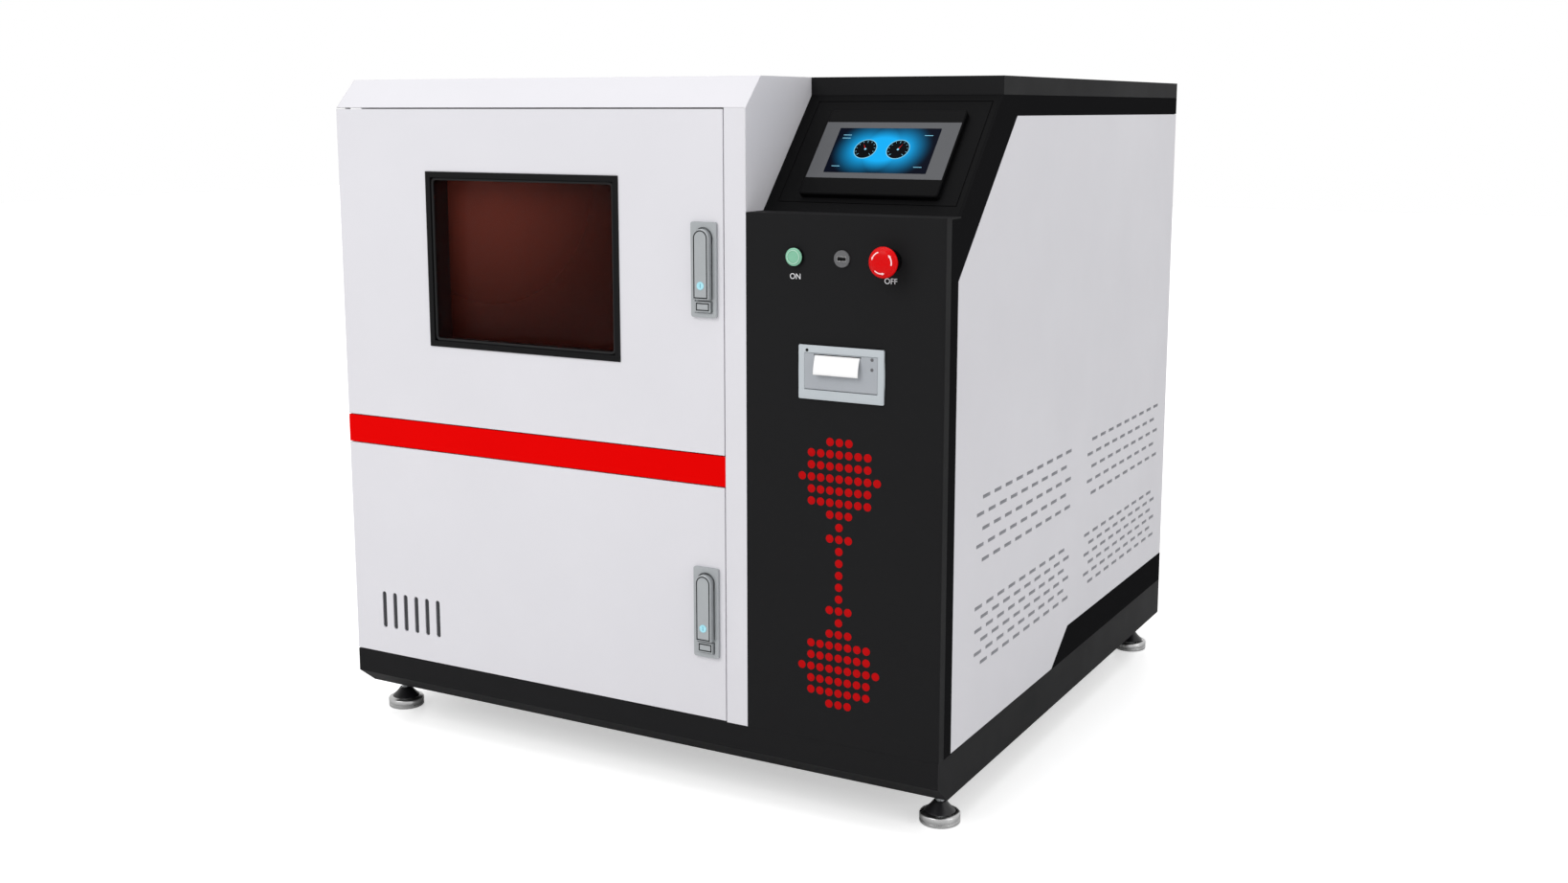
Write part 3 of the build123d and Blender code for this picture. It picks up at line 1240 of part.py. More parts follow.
with BuildPart() as estop_head:
    with BuildSketch(Plane.XY.offset(CONTROL_Z)):
        with BuildLine():
            Polyline(
                (ESTOP_X, HEAD_BACK),
                (ESTOP_X + ESTOP_HEAD_NECK, HEAD_BACK),
                (ESTOP_X + ESTOP_HEAD_RADIUS, HEAD_BACK - ESTOP_HEAD_RIM),
                (ESTOP_X + ESTOP_HEAD_RADIUS - ESTOP_BEVEL / 2, HEAD_FRONT + ESTOP_BEVEL),
                (ESTOP_X + ESTOP_HEAD_NECK - ESTOP_BEVEL, HEAD_FRONT),
                (ESTOP_X, HEAD_FRONT),
                close=True,
            )
        make_face()
    revolve(axis=Axis((ESTOP_X, 0, CONTROL_Z), (0, 1, 0)))
    rod_y(
        ESTOP_SPIGOT_RADIUS + PIN_FIT,
        ESTOP_X,
        HEAD_BACK - ESTOP_SPIGOT - SEAT_GAP,
        HEAD_BACK,
        CONTROL_Z,
        Mode.SUBTRACT,
    )
save(estop_head.part, "estop_head")

# Receipt printer: bezel with its bucket, cover on a low hinge, paper and roll
PRINTER_FACE = FRONT - PRINTER_PROUD
COVER_LOW = PRINTER_LOW + PRINTER_BORDER_LOW + COVER_GAP
COVER_HIGH = PRINTER_HIGH - PRINTER_BORDER_HIGH - COVER_GAP
BUCKET_BACK = FRONT + PRINTER_DEPTH - SHEET
ROLL_Y = FRONT + ROLL_SETBACK
ROLL_Z = (COVER_LOW + COVER_HIGH) / 2
COVER_PIN_Y = PRINTER_FACE + COVER_DEPTH / 2
COVER_PIN_Z = COVER_LOW + COVER_DEPTH / 2
with BuildPart() as printer_housing:
    with BuildSketch(Plane.XZ.offset(-FRONT)):
        with Locations((PRINTER_LEFT + PRINTER_WIDTH / 2, PRINTER_LOW + PRINTER_HEIGHT / 2)):
            RectangleRounded(PRINTER_WIDTH, PRINTER_HEIGHT, PRINTER_CORNER)
    extrude(amount=PRINTER_PROUD)
    block(
        PRINTER_LEFT + PRINTER_LIP,
        PRINTER_LEFT + PRINTER_WIDTH - PRINTER_LIP,
        FRONT,
        FRONT + PRINTER_DEPTH,
        PRINTER_LOW + PRINTER_LIP,
        PRINTER_HIGH - PRINTER_LIP,
    )
    block(
        COVER_LEFT,
        COVER_RIGHT,
        PRINTER_FACE,
        BUCKET_BACK,
        PRINTER_LOW + PRINTER_BORDER_LOW,
        PRINTER_HIGH - PRINTER_BORDER_HIGH,
        Mode.SUBTRACT,
    )
    for pin_radius, pin_y, pin_z in (
        (COVER_PIN_RADIUS, COVER_PIN_Y, COVER_PIN_Z),
        (ROLL_AXLE_RADIUS + PIN_FIT, ROLL_Y, ROLL_Z),
    ):
        rod_x(pin_radius, COVER_LEFT - PIN_HOLE, COVER_RIGHT + PIN_HOLE, pin_y, pin_z, Mode.SUBTRACT)
save(printer_housing.part, "printer_housing")

with BuildPart() as printer_cover:
    block(
        COVER_LEFT + COVER_GAP,
        COVER_RIGHT - COVER_GAP,
        PRINTER_FACE,
        PRINTER_FACE + COVER_DEPTH,
        COVER_PIN_Z,
        COVER_HIGH,
    )
    rod_x(COVER_DEPTH / 2, COVER_LEFT + COVER_GAP, COVER_RIGHT - COVER_GAP, COVER_PIN_Y, COVER_PIN_Z)
    rod_x(
        COVER_PIN_RADIUS - PIN_FIT,
        COVER_LEFT - PIN_REACH,
        COVER_RIGHT + PIN_REACH,
        COVER_PIN_Y,
        COVER_PIN_Z,
    )
save(printer_cover.part, "printer_cover")

PAPER_TOP = COVER_HIGH - PAPER_INSET
with BuildPart() as paper_strip:
    with BuildSketch(Plane.YZ.offset(PAPER_X - PAPER_WIDTH / 2)):
        Polygon(
            (PRINTER_FACE, PAPER_TOP),
            (PRINTER_FACE, PAPER_TOP - PAPER_THICKNESS),
            (PRINTER_FACE - PAPER_LEAN / 2, PAPER_TOP - PAPER_THICKNESS - PAPER_CURL),
            (PRINTER_FACE - PAPER_LEAN, PAPER_TOP - PAPER_DROP),
            (PRINTER_FACE - PAPER_LEAN - PAPER_THICKNESS, PAPER_TOP - PAPER_DROP),
            (PRINTER_FACE - PAPER_LEAN / 2 - PAPER_THICKNESS, PAPER_TOP - PAPER_CURL),
            align=None,
        )
    extrude(amount=PAPER_WIDTH)
save(paper_strip.part, "paper_strip")

with BuildPart() as paper_roll:
    rod_x(ROLL_RADIUS, PAPER_X - PAPER_WIDTH / 2, PAPER_X + PAPER_WIDTH / 2, ROLL_Y, ROLL_Z)
    rod_x(ROLL_AXLE_RADIUS, COVER_LEFT - PIN_REACH, COVER_RIGHT + PIN_REACH, ROLL_Y, ROLL_Z)
save(paper_roll.part, "paper_roll")


def door_pan(bounds, depth):
    """Folded door skin, open to the back, with a bored block at each hinge pin."""
    x_low, x_high, z_low, z_high = bounds
    block(x_low, x_high, FRONT, FRONT + depth, z_low, z_high)
    block(
        x_low + SHEET,
        x_high - SHEET,
        FRONT + SHEET,
        FRONT + depth,
        z_low + SHEET,
        z_high - SHEET,
        Mode.SUBTRACT,
    )
    block_x = HINGE_X + HINGE_HEAD_RADIUS + SHEET
    block_y = HINGE_Y + HINGE_HEAD_RADIUS + SHEET
    for end_low, end_high in (
        (z_low + SHEET, z_low + HINGE_PIN_REACH + SHEET),
        (z_high - HINGE_PIN_REACH - SHEET, z_high - SHEET),
    ):
        block(x_low + SHEET, block_x, FRONT + SHEET, block_y, end_low, end_high)
    for bore_low, bore_high in (
        (z_low, z_low + HINGE_PIN_REACH + SHEET / 2),
        (z_high - HINGE_PIN_REACH - SHEET / 2, z_high),
    ):
        rod_z(HINGE_PIN_RADIUS + PIN_FIT, HINGE_X, HINGE_Y, bore_low, bore_high, Mode.SUBTRACT)


LOCK_HALF = LEVER_WIDTH / 2 + LOCK_MARGIN
SPINDLE_TUBE_RADIUS = SPINDLE_RADIUS + LOCK_MARGIN


def lock_cut(plate_low, y_low, y_high):
    """Hole in a door for the lock case behind a handle plate."""
    block(
        HANDLE_X - LOCK_HALF,
        HANDLE_X + LOCK_HALF,
        y_low,
        y_high,
        plate_low + LOCK_MARGIN,
        plate_low + HANDLE_HEIGHT - LOCK_MARGIN,
        Mode.SUBTRACT,
    )


# Upper door skin and liner, cut for the window and the lock
WINDOW_LEFT = TANK_CENTRE_X - WINDOW_WIDTH / 2
WINDOW_RIGHT = TANK_CENTRE_X + WINDOW_WIDTH / 2
WINDOW_LOW = WINDOW_CENTRE_Z - WINDOW_HEIGHT / 2
WINDOW_HIGH = WINDOW_CENTRE_Z + WINDOW_HEIGHT / 2
UPPER_DOOR_BACK = FRONT + UPPER_DOOR_DEPTH
with BuildPart() as upper_door_skin:
    door_pan(UPPER_DOOR, UPPER_DOOR_DEPTH)
    block(WINDOW_LEFT, WINDOW_RIGHT, FRONT, FRONT + SHEET, WINDOW_LOW, WINDOW_HIGH, Mode.SUBTRACT)
    lock_cut(UPPER_HANDLE_Z, FRONT, FRONT + SHEET)
save(upper_door_skin.part, "upper_door_skin")

SPINDLE_RISE = LEVER_RISE + LEVER_LENGTH - LEVER_WIDTH / 2
with BuildPart() as upper_door_liner:
    liner_left, liner_right, liner_low, liner_high = UPPER_DOOR
    block(
        liner_left + SHEET,
        liner_right - SHEET,
        UPPER_DOOR_BACK - SHEET,
        UPPER_DOOR_BACK,
        liner_low + SHEET,
        liner_high - SHEET,
    )
    block(
        WINDOW_LEFT,
        WINDOW_RIGHT,
        UPPER_DOOR_BACK - SHEET,
        UPPER_DOOR_BACK,
        WINDOW_LOW,
        WINDOW_HIGH,
        Mode.SUBTRACT,
    )
    rod_y(
        SPINDLE_TUBE_RADIUS,
        HANDLE_X,
        UPPER_DOOR_BACK - SHEET,
        UPPER_DOOR_BACK,
        UPPER_HANDLE_Z + SPINDLE_RISE,
        Mode.SUBTRACT,
    )
save(upper_door_liner.part, "upper_door_liner")

# Window frame, a deep black ring, with grooves for the outer and inner pane
PANE_FRONTS = (FRONT + PANE_SETBACK, UPPER_DOOR_BACK - PANE_SETBACK - PANE)
GLASS_LEFT = WINDOW_LEFT + WINDOW_BORDER
GLASS_RIGHT = WINDOW_RIGHT - WINDOW_BORDER
GLASS_LOW = WINDOW_LOW + WINDOW_BORDER
GLASS_HIGH = WINDOW_HIGH - WINDOW_BORDER
with BuildPart() as window_frame:
    block(WINDOW_LEFT, WINDOW_RIGHT, FRONT - WINDOW_PROUD, UPPER_DOOR_BACK, WINDOW_LOW, WINDOW_HIGH)
    block(
        GLASS_LEFT,
        GLASS_RIGHT,
        FRONT - WINDOW_PROUD,
        UPPER_DOOR_BACK,
        GLASS_LOW,
        GLASS_HIGH,
        Mode.SUBTRACT,
    )
    for pane_y in PANE_FRONTS:
        block(
            GLASS_LEFT - PANE_BITE,
            GLASS_RIGHT + PANE_BITE,
            pane_y,
            pane_y + PANE,
            GLASS_LOW - PANE_BITE,
            GLASS_HIGH + PANE_BITE,
            Mode.SUBTRACT,
        )
save(window_frame.part, "window_frame")

with BuildPart() as window_panes:
    for pane_y in PANE_FRONTS:
        block(
            GLASS_LEFT - PANE_BITE,
            GLASS_RIGHT + PANE_BITE,
            pane_y,
            pane_y + PANE,
            GLASS_LOW - PANE_BITE,
            GLASS_HIGH + PANE_BITE,
        )
save(window_panes.part, "window_panes")

# Gasket on the back of the upper door, around the mouth of the tank
GASKET_CLEAR = 8.0
GASKET_WIDTH = 16.0
with BuildPart() as door_gasket:
    inner = GASKET_CLEAR
    outer = GASKET_CLEAR + GASKET_WIDTH
    gasket_back = UPPER_DOOR_BACK + GASKET_DEPTH
    block(
        TANK_LEFT - outer,
        TANK_RIGHT + outer,
        UPPER_DOOR_BACK,
        gasket_back,
        TANK_LOW - outer,
        TANK_HIGH + outer,
    )
    block(
        TANK_LEFT - inner,
        TANK_RIGHT + inner,
        UPPER_DOOR_BACK,
        gasket_back,
        TANK_LOW - inner,
        TANK_HIGH + inner,
        Mode.SUBTRACT,
    )
save(door_gasket.part, "door_gasket")

# Lower door skin with its row of slots, and the filter mat behind them
FILTER_MARGIN = 10.0
FILTER_DEPTH = 6.0
VENT_MID_X = VENT_FIRST_X + (VENT_COUNT - 1) / 2 * VENT_PITCH
VENT_MID_Z = VENT_LOW + VENT_LENGTH / 2
with BuildPart() as lower_door_skin:
    door_pan(LOWER_DOOR, LOWER_DOOR_DEPTH)
    lock_cut(LOWER_HANDLE_Z, FRONT, FRONT + SHEET)
    with BuildSketch(Plane.XZ.offset(-FRONT)):
        with Locations((VENT_MID_X, VENT_MID_Z)):
            with GridLocations(VENT_PITCH, 0, VENT_COUNT, 1):
                SlotOverall(VENT_LENGTH, VENT_WIDTH, rotation=90)
    extrude(amount=-SHEET, mode=Mode.SUBTRACT)
save(lower_door_skin.part, "lower_door_skin")

with BuildPart() as lower_door_filter:
    filter_half = (VENT_COUNT - 1) / 2 * VENT_PITCH + VENT_WIDTH / 2 + FILTER_MARGIN
    block(
        VENT_MID_X - filter_half,
        VENT_MID_X + filter_half,
        FRONT + SHEET,
        FRONT + SHEET + FILTER_DEPTH,
        VENT_LOW - FILTER_MARGIN,
        VENT_LOW + VENT_LENGTH + FILTER_MARGIN,
    )
save(lower_door_filter.part, "lower_door_filter")

# Handle sets
PLATE_FACE = FRONT - PLATE_PROUD
LEVER_BACK = PLATE_FACE - LEVER_LIFT
LEVER_FRONT = LEVER_BACK - LEVER_DEPTH
SPINDLE_SETBACK = 0.5
LIFT_PIN_INSET = 3.4
LIFT_PIN_Y = LEVER_BACK - LIFT_PIN_INSET
SPINDLE_FRONT = FRONT + SPINDLE_SETBACK
LIFT_PIN_RADIUS = 2.0
LIFT_PIN_HALF = 9.0
TONGUE_HALF = 3.0
TONGUE_SIDE = 0.3
TONGUE_SLOT_HALF = 6.5
SWING_CLEAR = 1.9
SWING_RADIUS = LEVER_WIDTH / 2 + SWING_CLEAR
SWING_DEPTH = 1.5
LEVER_EDGE = 1.0
HEEL_RISE = 3.6
HEEL_DEPTH = 2.0
RECESS = 2.0
OUTLINE = 1.6
BUTTON_TRAVEL = 3.0
BUTTON_DEPTH = 8.0
BUTTON_SIDE = 0.3
BUTTON_NARROWER = 0.5
KEY_DEPTH = 6.0
KEY_PROUD = 0.6
KEY_SLOT_HALF = 0.6
KEY_SLOT_REACH = 3.025
CAM_GAP = 1.0


def slab(half_width, z_low, z_high, y_front, y_back, mode=Mode.ADD):
    """Upright block with a half-round top, centred on the handle."""
    block(HANDLE_X - half_width, HANDLE_X + half_width, y_front, y_back, z_low, z_high - half_width, mode)
    rod_y(half_width, HANDLE_X, y_front, y_back, z_high - half_width, mode)


def handle_set(tag, plate_low, door_back):
    """Write the five pieces of one handle; the door's back sets the spindle's length."""
    spindle_z = plate_low + SPINDLE_RISE
    lever_low = plate_low + LEVER_RISE
    lever_high = lever_low + LEVER_LENGTH
    button_low = plate_low + BUTTON_RISE
    button_high = button_low + BUTTON_HEIGHT
    button_half = LEVER_WIDTH / 2 - BUTTON_NARROWER
    lock_back = FRONT + LOCK_DEPTH
    with BuildPart() as plate:
        block(
            HANDLE_X - HANDLE_WIDTH / 2,
            HANDLE_X + HANDLE_WIDTH / 2,
            PLATE_FACE,
            FRONT,
            plate_low,
            plate_low + HANDLE_HEIGHT,
        )
        fillet(plate.edges().filter_by(Axis.Y), PLATE_CORNER)
        block(
            HANDLE_X - LOCK_HALF,
            HANDLE_X + LOCK_HALF,
            FRONT,
            lock_back,
            plate_low + LOCK_MARGIN,
            plate_low + HANDLE_HEIGHT - LOCK_MARGIN,
        )
        rod_y(SPINDLE_TUBE_RADIUS, HANDLE_X, lock_back, door_back, spindle_z)
        slab(
            LEVER_WIDTH / 2 + OUTLINE,
            button_low - OUTLINE,
            lever_high + OUTLINE,
            PLATE_FACE,
            PLATE_FACE + RECESS,
            Mode.SUBTRACT,
        )
        rod_y(SWING_RADIUS, HANDLE_X, PLATE_FACE, FRONT + SWING_DEPTH, spindle_z, Mode.SUBTRACT)
        rod_y(SPINDLE_RADIUS + PIN_FIT, HANDLE_X, FRONT, door_back, spindle_z, Mode.SUBTRACT)
        block(
            HANDLE_X - button_half - BUTTON_SIDE,
            HANDLE_X + button_half + BUTTON_SIDE,
            PLATE_FACE,
            FRONT + BUTTON_DEPTH + BUTTON_TRAVEL + BUTTON_SIDE,
            button_low - BUTTON_SIDE,
            button_high + BUTTON_SIDE,
            Mode.SUBTRACT,
        )
    save(plate.part, f"{tag}_handle_plate")

    with BuildPart() as button:
        block(
            HANDLE_X - button_half,
            HANDLE_X + button_half,
            PLATE_FACE - BUTTON_PROUD,
            FRONT + BUTTON_DEPTH,
            button_low,
            button_high,
        )
    save(button.part, f"{tag}_handle_button")

    with BuildPart() as spindle:
        cam_front = door_back + CAM_GAP
        rod_y(SPINDLE_RADIUS, HANDLE_X, SPINDLE_FRONT, cam_front, spindle_z)
        block(
            HANDLE_X - SPINDLE_RADIUS,
            HANDLE_X + CAM_REACH,
            cam_front,
            cam_front + CAM_DEPTH,
            spindle_z - CAM_HEIGHT / 2,
            spindle_z + CAM_HEIGHT / 2,
        )
        block(
            HANDLE_X - TONGUE_HALF,
            HANDLE_X + TONGUE_HALF,
            LIFT_PIN_Y,
            SPINDLE_FRONT,
            spindle_z - TONGUE_HALF,
            spindle_z + TONGUE_HALF,
        )
        rod_x(TONGUE_HALF, HANDLE_X - TONGUE_HALF, HANDLE_X + TONGUE_HALF, LIFT_PIN_Y, spindle_z)
        rod_x(LIFT_PIN_RADIUS, HANDLE_X - LIFT_PIN_HALF, HANDLE_X + LIFT_PIN_HALF, LIFT_PIN_Y, spindle_z)
    save(spindle.part, f"{tag}_handle_spindle")

    with BuildPart() as lever:
        slab(LEVER_WIDTH / 2, lever_low, lever_high, LEVER_FRONT, LEVER_BACK)
        chamfer(lever.faces().sort_by(Axis.Y)[0].edges(), LEVER_EDGE)
        # bevelled heel, clear of the door's face when the lever is lifted
        with BuildSketch(Plane.YZ.offset(HANDLE_X)):
            with BuildLine():
                Polyline(
                    (LEVER_BACK, lever_high - HEEL_RISE),
                    (LEVER_BACK, lever_high),
                    (LEVER_BACK - HEEL_DEPTH, lever_high),
                    close=True,
                )
            make_face()
        extrude(amount=LEVER_WIDTH / 2, both=True, mode=Mode.SUBTRACT)
        block(
            HANDLE_X - TONGUE_HALF - TONGUE_SIDE,
            HANDLE_X + TONGUE_HALF + TONGUE_SIDE,
            LIFT_PIN_Y - TONGUE_HALF - TONGUE_SIDE,
            LEVER_BACK,
            spindle_z - TONGUE_SLOT_HALF,
            spindle_z + TONGUE_SLOT_HALF,
            Mode.SUBTRACT,
        )
        rod_x(
            LIFT_PIN_RADIUS + PIN_FIT,
            HANDLE_X - LIFT_PIN_HALF - TONGUE_SIDE,
            HANDLE_X + LIFT_PIN_HALF + TONGUE_SIDE,
            LIFT_PIN_Y,
            spindle_z,
            Mode.SUBTRACT,
        )
        rod_y(
            KEY_RADIUS + PIN_FIT,
            HANDLE_X,
            LEVER_FRONT,
            LEVER_FRONT + KEY_DEPTH + TONGUE_SIDE,
            lever_low + KEY_RISE,
            Mode.SUBTRACT,
        )
    save(lever.part, f"{tag}_handle_lever")

    with BuildPart() as key:
        rod_y(KEY_RADIUS, HANDLE_X, LEVER_FRONT - KEY_PROUD, LEVER_FRONT + KEY_DEPTH, lever_low + KEY_RISE)
        block(
            HANDLE_X - KEY_SLOT_HALF,
            HANDLE_X + KEY_SLOT_HALF,
            LEVER_FRONT - KEY_PROUD,
            LEVER_FRONT + KEY_DEPTH / 2,
            lever_low + KEY_RISE - KEY_SLOT_REACH,
            lever_low + KEY_RISE + KEY_SLOT_REACH,
            Mode.SUBTRACT,
        )
    save(key.part, f"{tag}_key_cylinder")


handle_set("upper", UPPER_HANDLE_Z, UPPER_DOOR_BACK)
handle_set("lower", LOWER_HANDLE_Z, FRONT + LOWER_DOOR_DEPTH)

# Levelling feet: a pad that rises in a cone to the threaded stem, with its lock nut
for foot_name, foot_x, foot_y in feet():
    with BuildPart() as foot:
        with BuildSketch(Plane.XZ.offset(-foot_y)):
            Polygon(
                (foot_x, 0),
                (foot_x + FOOT_PAD_RADIUS, 0),
                (foot_x + FOOT_PAD_RADIUS, FOOT_PAD_HEIGHT),
                (foot_x + FOOT_PAD_RADIUS - FOOT_PAD_EDGE, FOOT_PAD_HEIGHT + FOOT_PAD_SHOULDER),
                (foot_x + FOOT_STEM_RADIUS + FOOT_CONE_NECK, FOOT_CONE_TOP),
                (foot_x + FOOT_STEM_RADIUS, FOOT_CONE_TOP),
                (foot_x + FOOT_STEM_RADIUS, FOOT_STEM_TOP),
                (foot_x, FOOT_STEM_TOP),
                align=None,
            )
        revolve(axis=Axis((foot_x, foot_y, 0), (0, 0, 1)))
        with BuildSketch(Plane.XY.offset(BASE - SEAT_GAP - FOOT_NUT)):
            with Locations((foot_x, foot_y)):
                RegularPolygon(FOOT_NUT_RADIUS, 6)
        extrude(amount=FOOT_NUT)
    save(foot.part, foot_name)
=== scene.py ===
"""Looks of an environmental test chamber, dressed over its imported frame."""

import json
import math

import bmesh
import bpy
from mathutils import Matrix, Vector

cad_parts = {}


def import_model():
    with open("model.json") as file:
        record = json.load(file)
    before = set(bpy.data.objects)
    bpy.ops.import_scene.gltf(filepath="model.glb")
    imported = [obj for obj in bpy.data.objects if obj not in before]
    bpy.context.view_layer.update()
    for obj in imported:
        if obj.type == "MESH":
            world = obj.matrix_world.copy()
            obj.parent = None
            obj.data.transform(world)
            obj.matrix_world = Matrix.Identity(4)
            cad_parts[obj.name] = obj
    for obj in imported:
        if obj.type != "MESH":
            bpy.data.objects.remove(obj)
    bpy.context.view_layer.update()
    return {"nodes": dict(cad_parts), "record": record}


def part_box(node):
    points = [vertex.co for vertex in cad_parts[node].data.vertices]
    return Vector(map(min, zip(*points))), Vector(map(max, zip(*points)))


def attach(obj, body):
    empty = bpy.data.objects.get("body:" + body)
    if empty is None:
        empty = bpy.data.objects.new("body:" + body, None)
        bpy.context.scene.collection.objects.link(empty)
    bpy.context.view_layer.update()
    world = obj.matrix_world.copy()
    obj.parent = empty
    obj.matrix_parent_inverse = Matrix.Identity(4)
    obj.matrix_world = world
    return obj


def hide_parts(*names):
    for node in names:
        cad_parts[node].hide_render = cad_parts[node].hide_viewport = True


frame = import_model()

# The photograph's camera: place, turn and tilt, lens and picture centre
PHOTO_WIDTH = 1638
PHOTO_HEIGHT = 922
FOCAL_PIXELS = 1748.06
CENTRE_PIXELS_Y = 399.14
SENSOR = 36.0
CAMERA_PLACE = Vector((1.32406, -2.41505, 0.9558))
CAMERA_YAW = math.radians(-28.813)
CAMERA_PITCH = math.radians(-9.257)

# The console's slope: where it starts and its angle, with across, up and out on it
SLOPE_START = Vector((0.2132, -0.4532, 0.8223))
SLOPE_ANGLE = math.radians(48.03)
SLOPE_UP = Vector((0, math.cos(SLOPE_ANGLE), math.sin(SLOPE_ANGLE)))
SLOPE_OUT = Vector((0, -math.sin(SLOPE_ANGLE), math.cos(SLOPE_ANGLE)))
PANEL_PROUD = 0.009
DISPLAY_ACROSS = 0.1473
DISPLAY_UP = 0.0992
DISPLAY_WIDTH = 0.149
DISPLAY_HEIGHT = 0.0773

# Planes of the dressed sheets: the column's and doors' front, the side panel's skin
FRONT = -0.5
SIDE_SKIN = 0.4998

# Plain marks under the buttons
MARK_SIZE = 0.0105
MARK_Z = 0.7375
MARK_RISE = 0.00008

# Gauges on the display: radius, height over its middle, and how far faces and rings stand out
GAUGE_RADIUS = 0.0165
GAUGE_LIFT = 0.002
FACE_LOW = 0.0002
FACE_HIGH = 0.0003
RING_HIGH = 0.0004

# Scale of each gauge: number of ticks, angle of the first and step to the next, in degrees
TICKS = 11
TICK_START = 225
TICK_STEP = 27

# Marks of the gauges: half widths, then reach as shares of the radius, then heights
TICK_HALF = 0.00025
TICK_TIP = 0.86
TICK_ROOT = 0.75
LONG_TICK_ROOT = 0.66
NEEDLE_HALF = 0.0006
NEEDLE_TIP = 0.62
NEEDLE_HIGH = 0.00042
HUB_RADIUS = 0.0016
HUB_HIGH = 0.00045

# Glow round the gauges: where it starts to fade, where it ends and how fast it falls
GLOW_START = 0.012
GLOW_END = 0.05
GLOW_FALL = 1.8

# Dots of the column's ornament, per row from the top
DOT_ROWS = (3, 7, 7, 9, 7, 7, 3, 1, 3, 1, 1, 1, 1, 1, 3, 1, 3, 7, 7, 9, 7, 7, 3)
DOT_RADIUS = 0.0056
DOT_PITCH_X = 0.01375
DOT_PITCH_Z = 0.0163
DOT_TOP_Z = 0.5257
DOT_CENTRE_X = 0.3534
DOT_RISE = 0.0004

# Upper left of the window, where a painted reflection makes the tinted glass lightest, and how far
# that reaches
PANE_REFLECTION_CORNER = (-0.25, -0.46, 0.86)
PANE_REFLECTION_REACH = 0.27

# Louvres of the side panel, and their two fields as top row, step down, number of rows,
# starts of the two groups in a row and shift of every other row
LOUVRE_PITCH = 0.0415
LOUVRE_COUNT = 9
LOUVRE_LENGTH = 0.026
LOUVRE_HEIGHT = 0.005
LOUVRE_DEPTH = 0.0045
LOUVRE_FIELDS = (
    (0.4414, 0.0218, 5, (-0.3485, 0.107), -0.0205),
    (0.290, 0.0161, 6, (-0.3704, 0.081), 0.022),
)

# Studio: light of the world, glow of the floor as the camera sees it, and the lamps
# as name, place, target, size and watts
WORLD_LIGHT = 0.68
FLOOR_GLOW = 0.5
FLOOR_REACH = 14.0
FLOOR_CORNERS = ((-1, -1), (1, -1), (1, 1), (-1, 1))
LAMPS = (
    ("key_light", (-1.2, -3.6, 3.4), (0, -0.4, 0.5), 2.6, 72),
    ("top_light", (0.2, 0.0, 4.2), (0, 0, 0.5), 3.0, 30),
    ("side_light", (4.2, -0.6, 2.0), (0.4, 0, 0.5), 2.4, 28),
)


# Colours and node trees

def paint(red, green, blue):
    """Linear colour of one given as 0..255 on a screen."""
    values = []
    for part in (red, green, blue):
        part = part / 255
        values.append(part / 12.92 if part <= 0.04045 else ((part + 0.055) / 1.055) ** 2.4)
    return (*values, 1.0)


def node(tree, kind, **values):
    """New shader node; values set its sockets by name, with _ for a space."""
    made = tree.nodes.new("ShaderNode" + kind)
    for key, value in values.items():
        made.inputs[key.replace("_", " ")].default_value = value
    return made


def join(tree, source, target):
    tree.links.new(source, target)


def places(tree, stretch=(1, 1, 1)):
    """Object coordinates, stretched."""
    coordinates = node(tree, "TexCoord")
    mapping = node(tree, "Mapping", Scale=stretch)
    join(tree, coordinates.outputs["Object"], mapping.inputs["Vector"])
    return mapping.outputs["Vector"]


def noise(tree, vector, scale, detail=3.0, roughness=0.55):
    made = node(tree, "TexNoise", Scale=scale, Detail=detail, Roughness=roughness)
    join(tree, vector, made.inputs["Vector"])
    return made.outputs["Fac"]


def between(tree, factor, low, high, start=0.3, end=0.7):
    """Value that goes from low to high as the factor goes from start to end."""
    made = node(tree, "MapRange")
    made.inputs["From Min"].default_value = start
    made.inputs["From Max"].default_value = end
    made.inputs["To Min"].default_value = low
    made.inputs["To Max"].default_value = high
    join(tree, factor, made.inputs["Value"])
    return made.outputs["Result"]


def blended(tree, factor, first, second):
    """Colour between two, by a factor."""
    made = tree.nodes.new("ShaderNodeMix")
    made.data_type = "RGBA"
    made.inputs[6].default_value = first
    made.inputs[7].default_value = second
    join(tree, factor, made.inputs[0])
    return made.outputs[2]


def softened(tree, radius):
    """Normal rounded over sharp edges."""
    made = tree.nodes.new("ShaderNodeBevel")
    made.samples = 4
    made.inputs["Radius"].default_value = radius
    return made.outputs["Normal"]


def surface(
    name,
    colour,
    roughness,
    metallic=0.0,
    specular=0.5,
    spread=0.05,
    blotch=5.0,
    tint=None,
    grain=700.0,
    grain_depth=0.02,
    stretch=(1, 1, 1),
    edge=0.0008,
    painted_glow=0.0,
):
    """Principled material with mottled colour and roughness, fine grain and softened edges, and a
    painted glow in its own colour when one is given.
    """
    made = bpy.data.materials.new(name)
    made.use_nodes = True
    tree = made.node_tree
    shader = tree.nodes["Principled BSDF"]
    shader.inputs["Metallic"].default_value = metallic
    shader.inputs["Specular IOR Level"].default_value = specular
    wide = noise(tree, places(tree), blotch, 4.0)
    second = tint or tuple(part * 0.93 for part in colour[:3]) + (1.0,)
    join(tree, blended(tree, wide, colour, second), shader.inputs["Base Color"])
    streaks = noise(tree, places(tree, stretch), grain, 2.0)
    mottled = between(tree, wide, roughness - spread, roughness + spread)
    join(tree, mottled, shader.inputs["Roughness"])
    bump = node(tree, "Bump", Strength=grain_depth, Distance=0.001)
    join(tree, streaks, bump.inputs["Height"])
    if edge:
        join(tree, softened(tree, edge), bump.inputs["Normal"])
    join(tree, bump.outputs["Normal"], shader.inputs["Normal"])
    # Painted glow: the surface gives off its own colour
    if painted_glow:
        shader.inputs["Emission Color"].default_value = colour
        shader.inputs["Emission Strength"].default_value = painted_glow
    return made


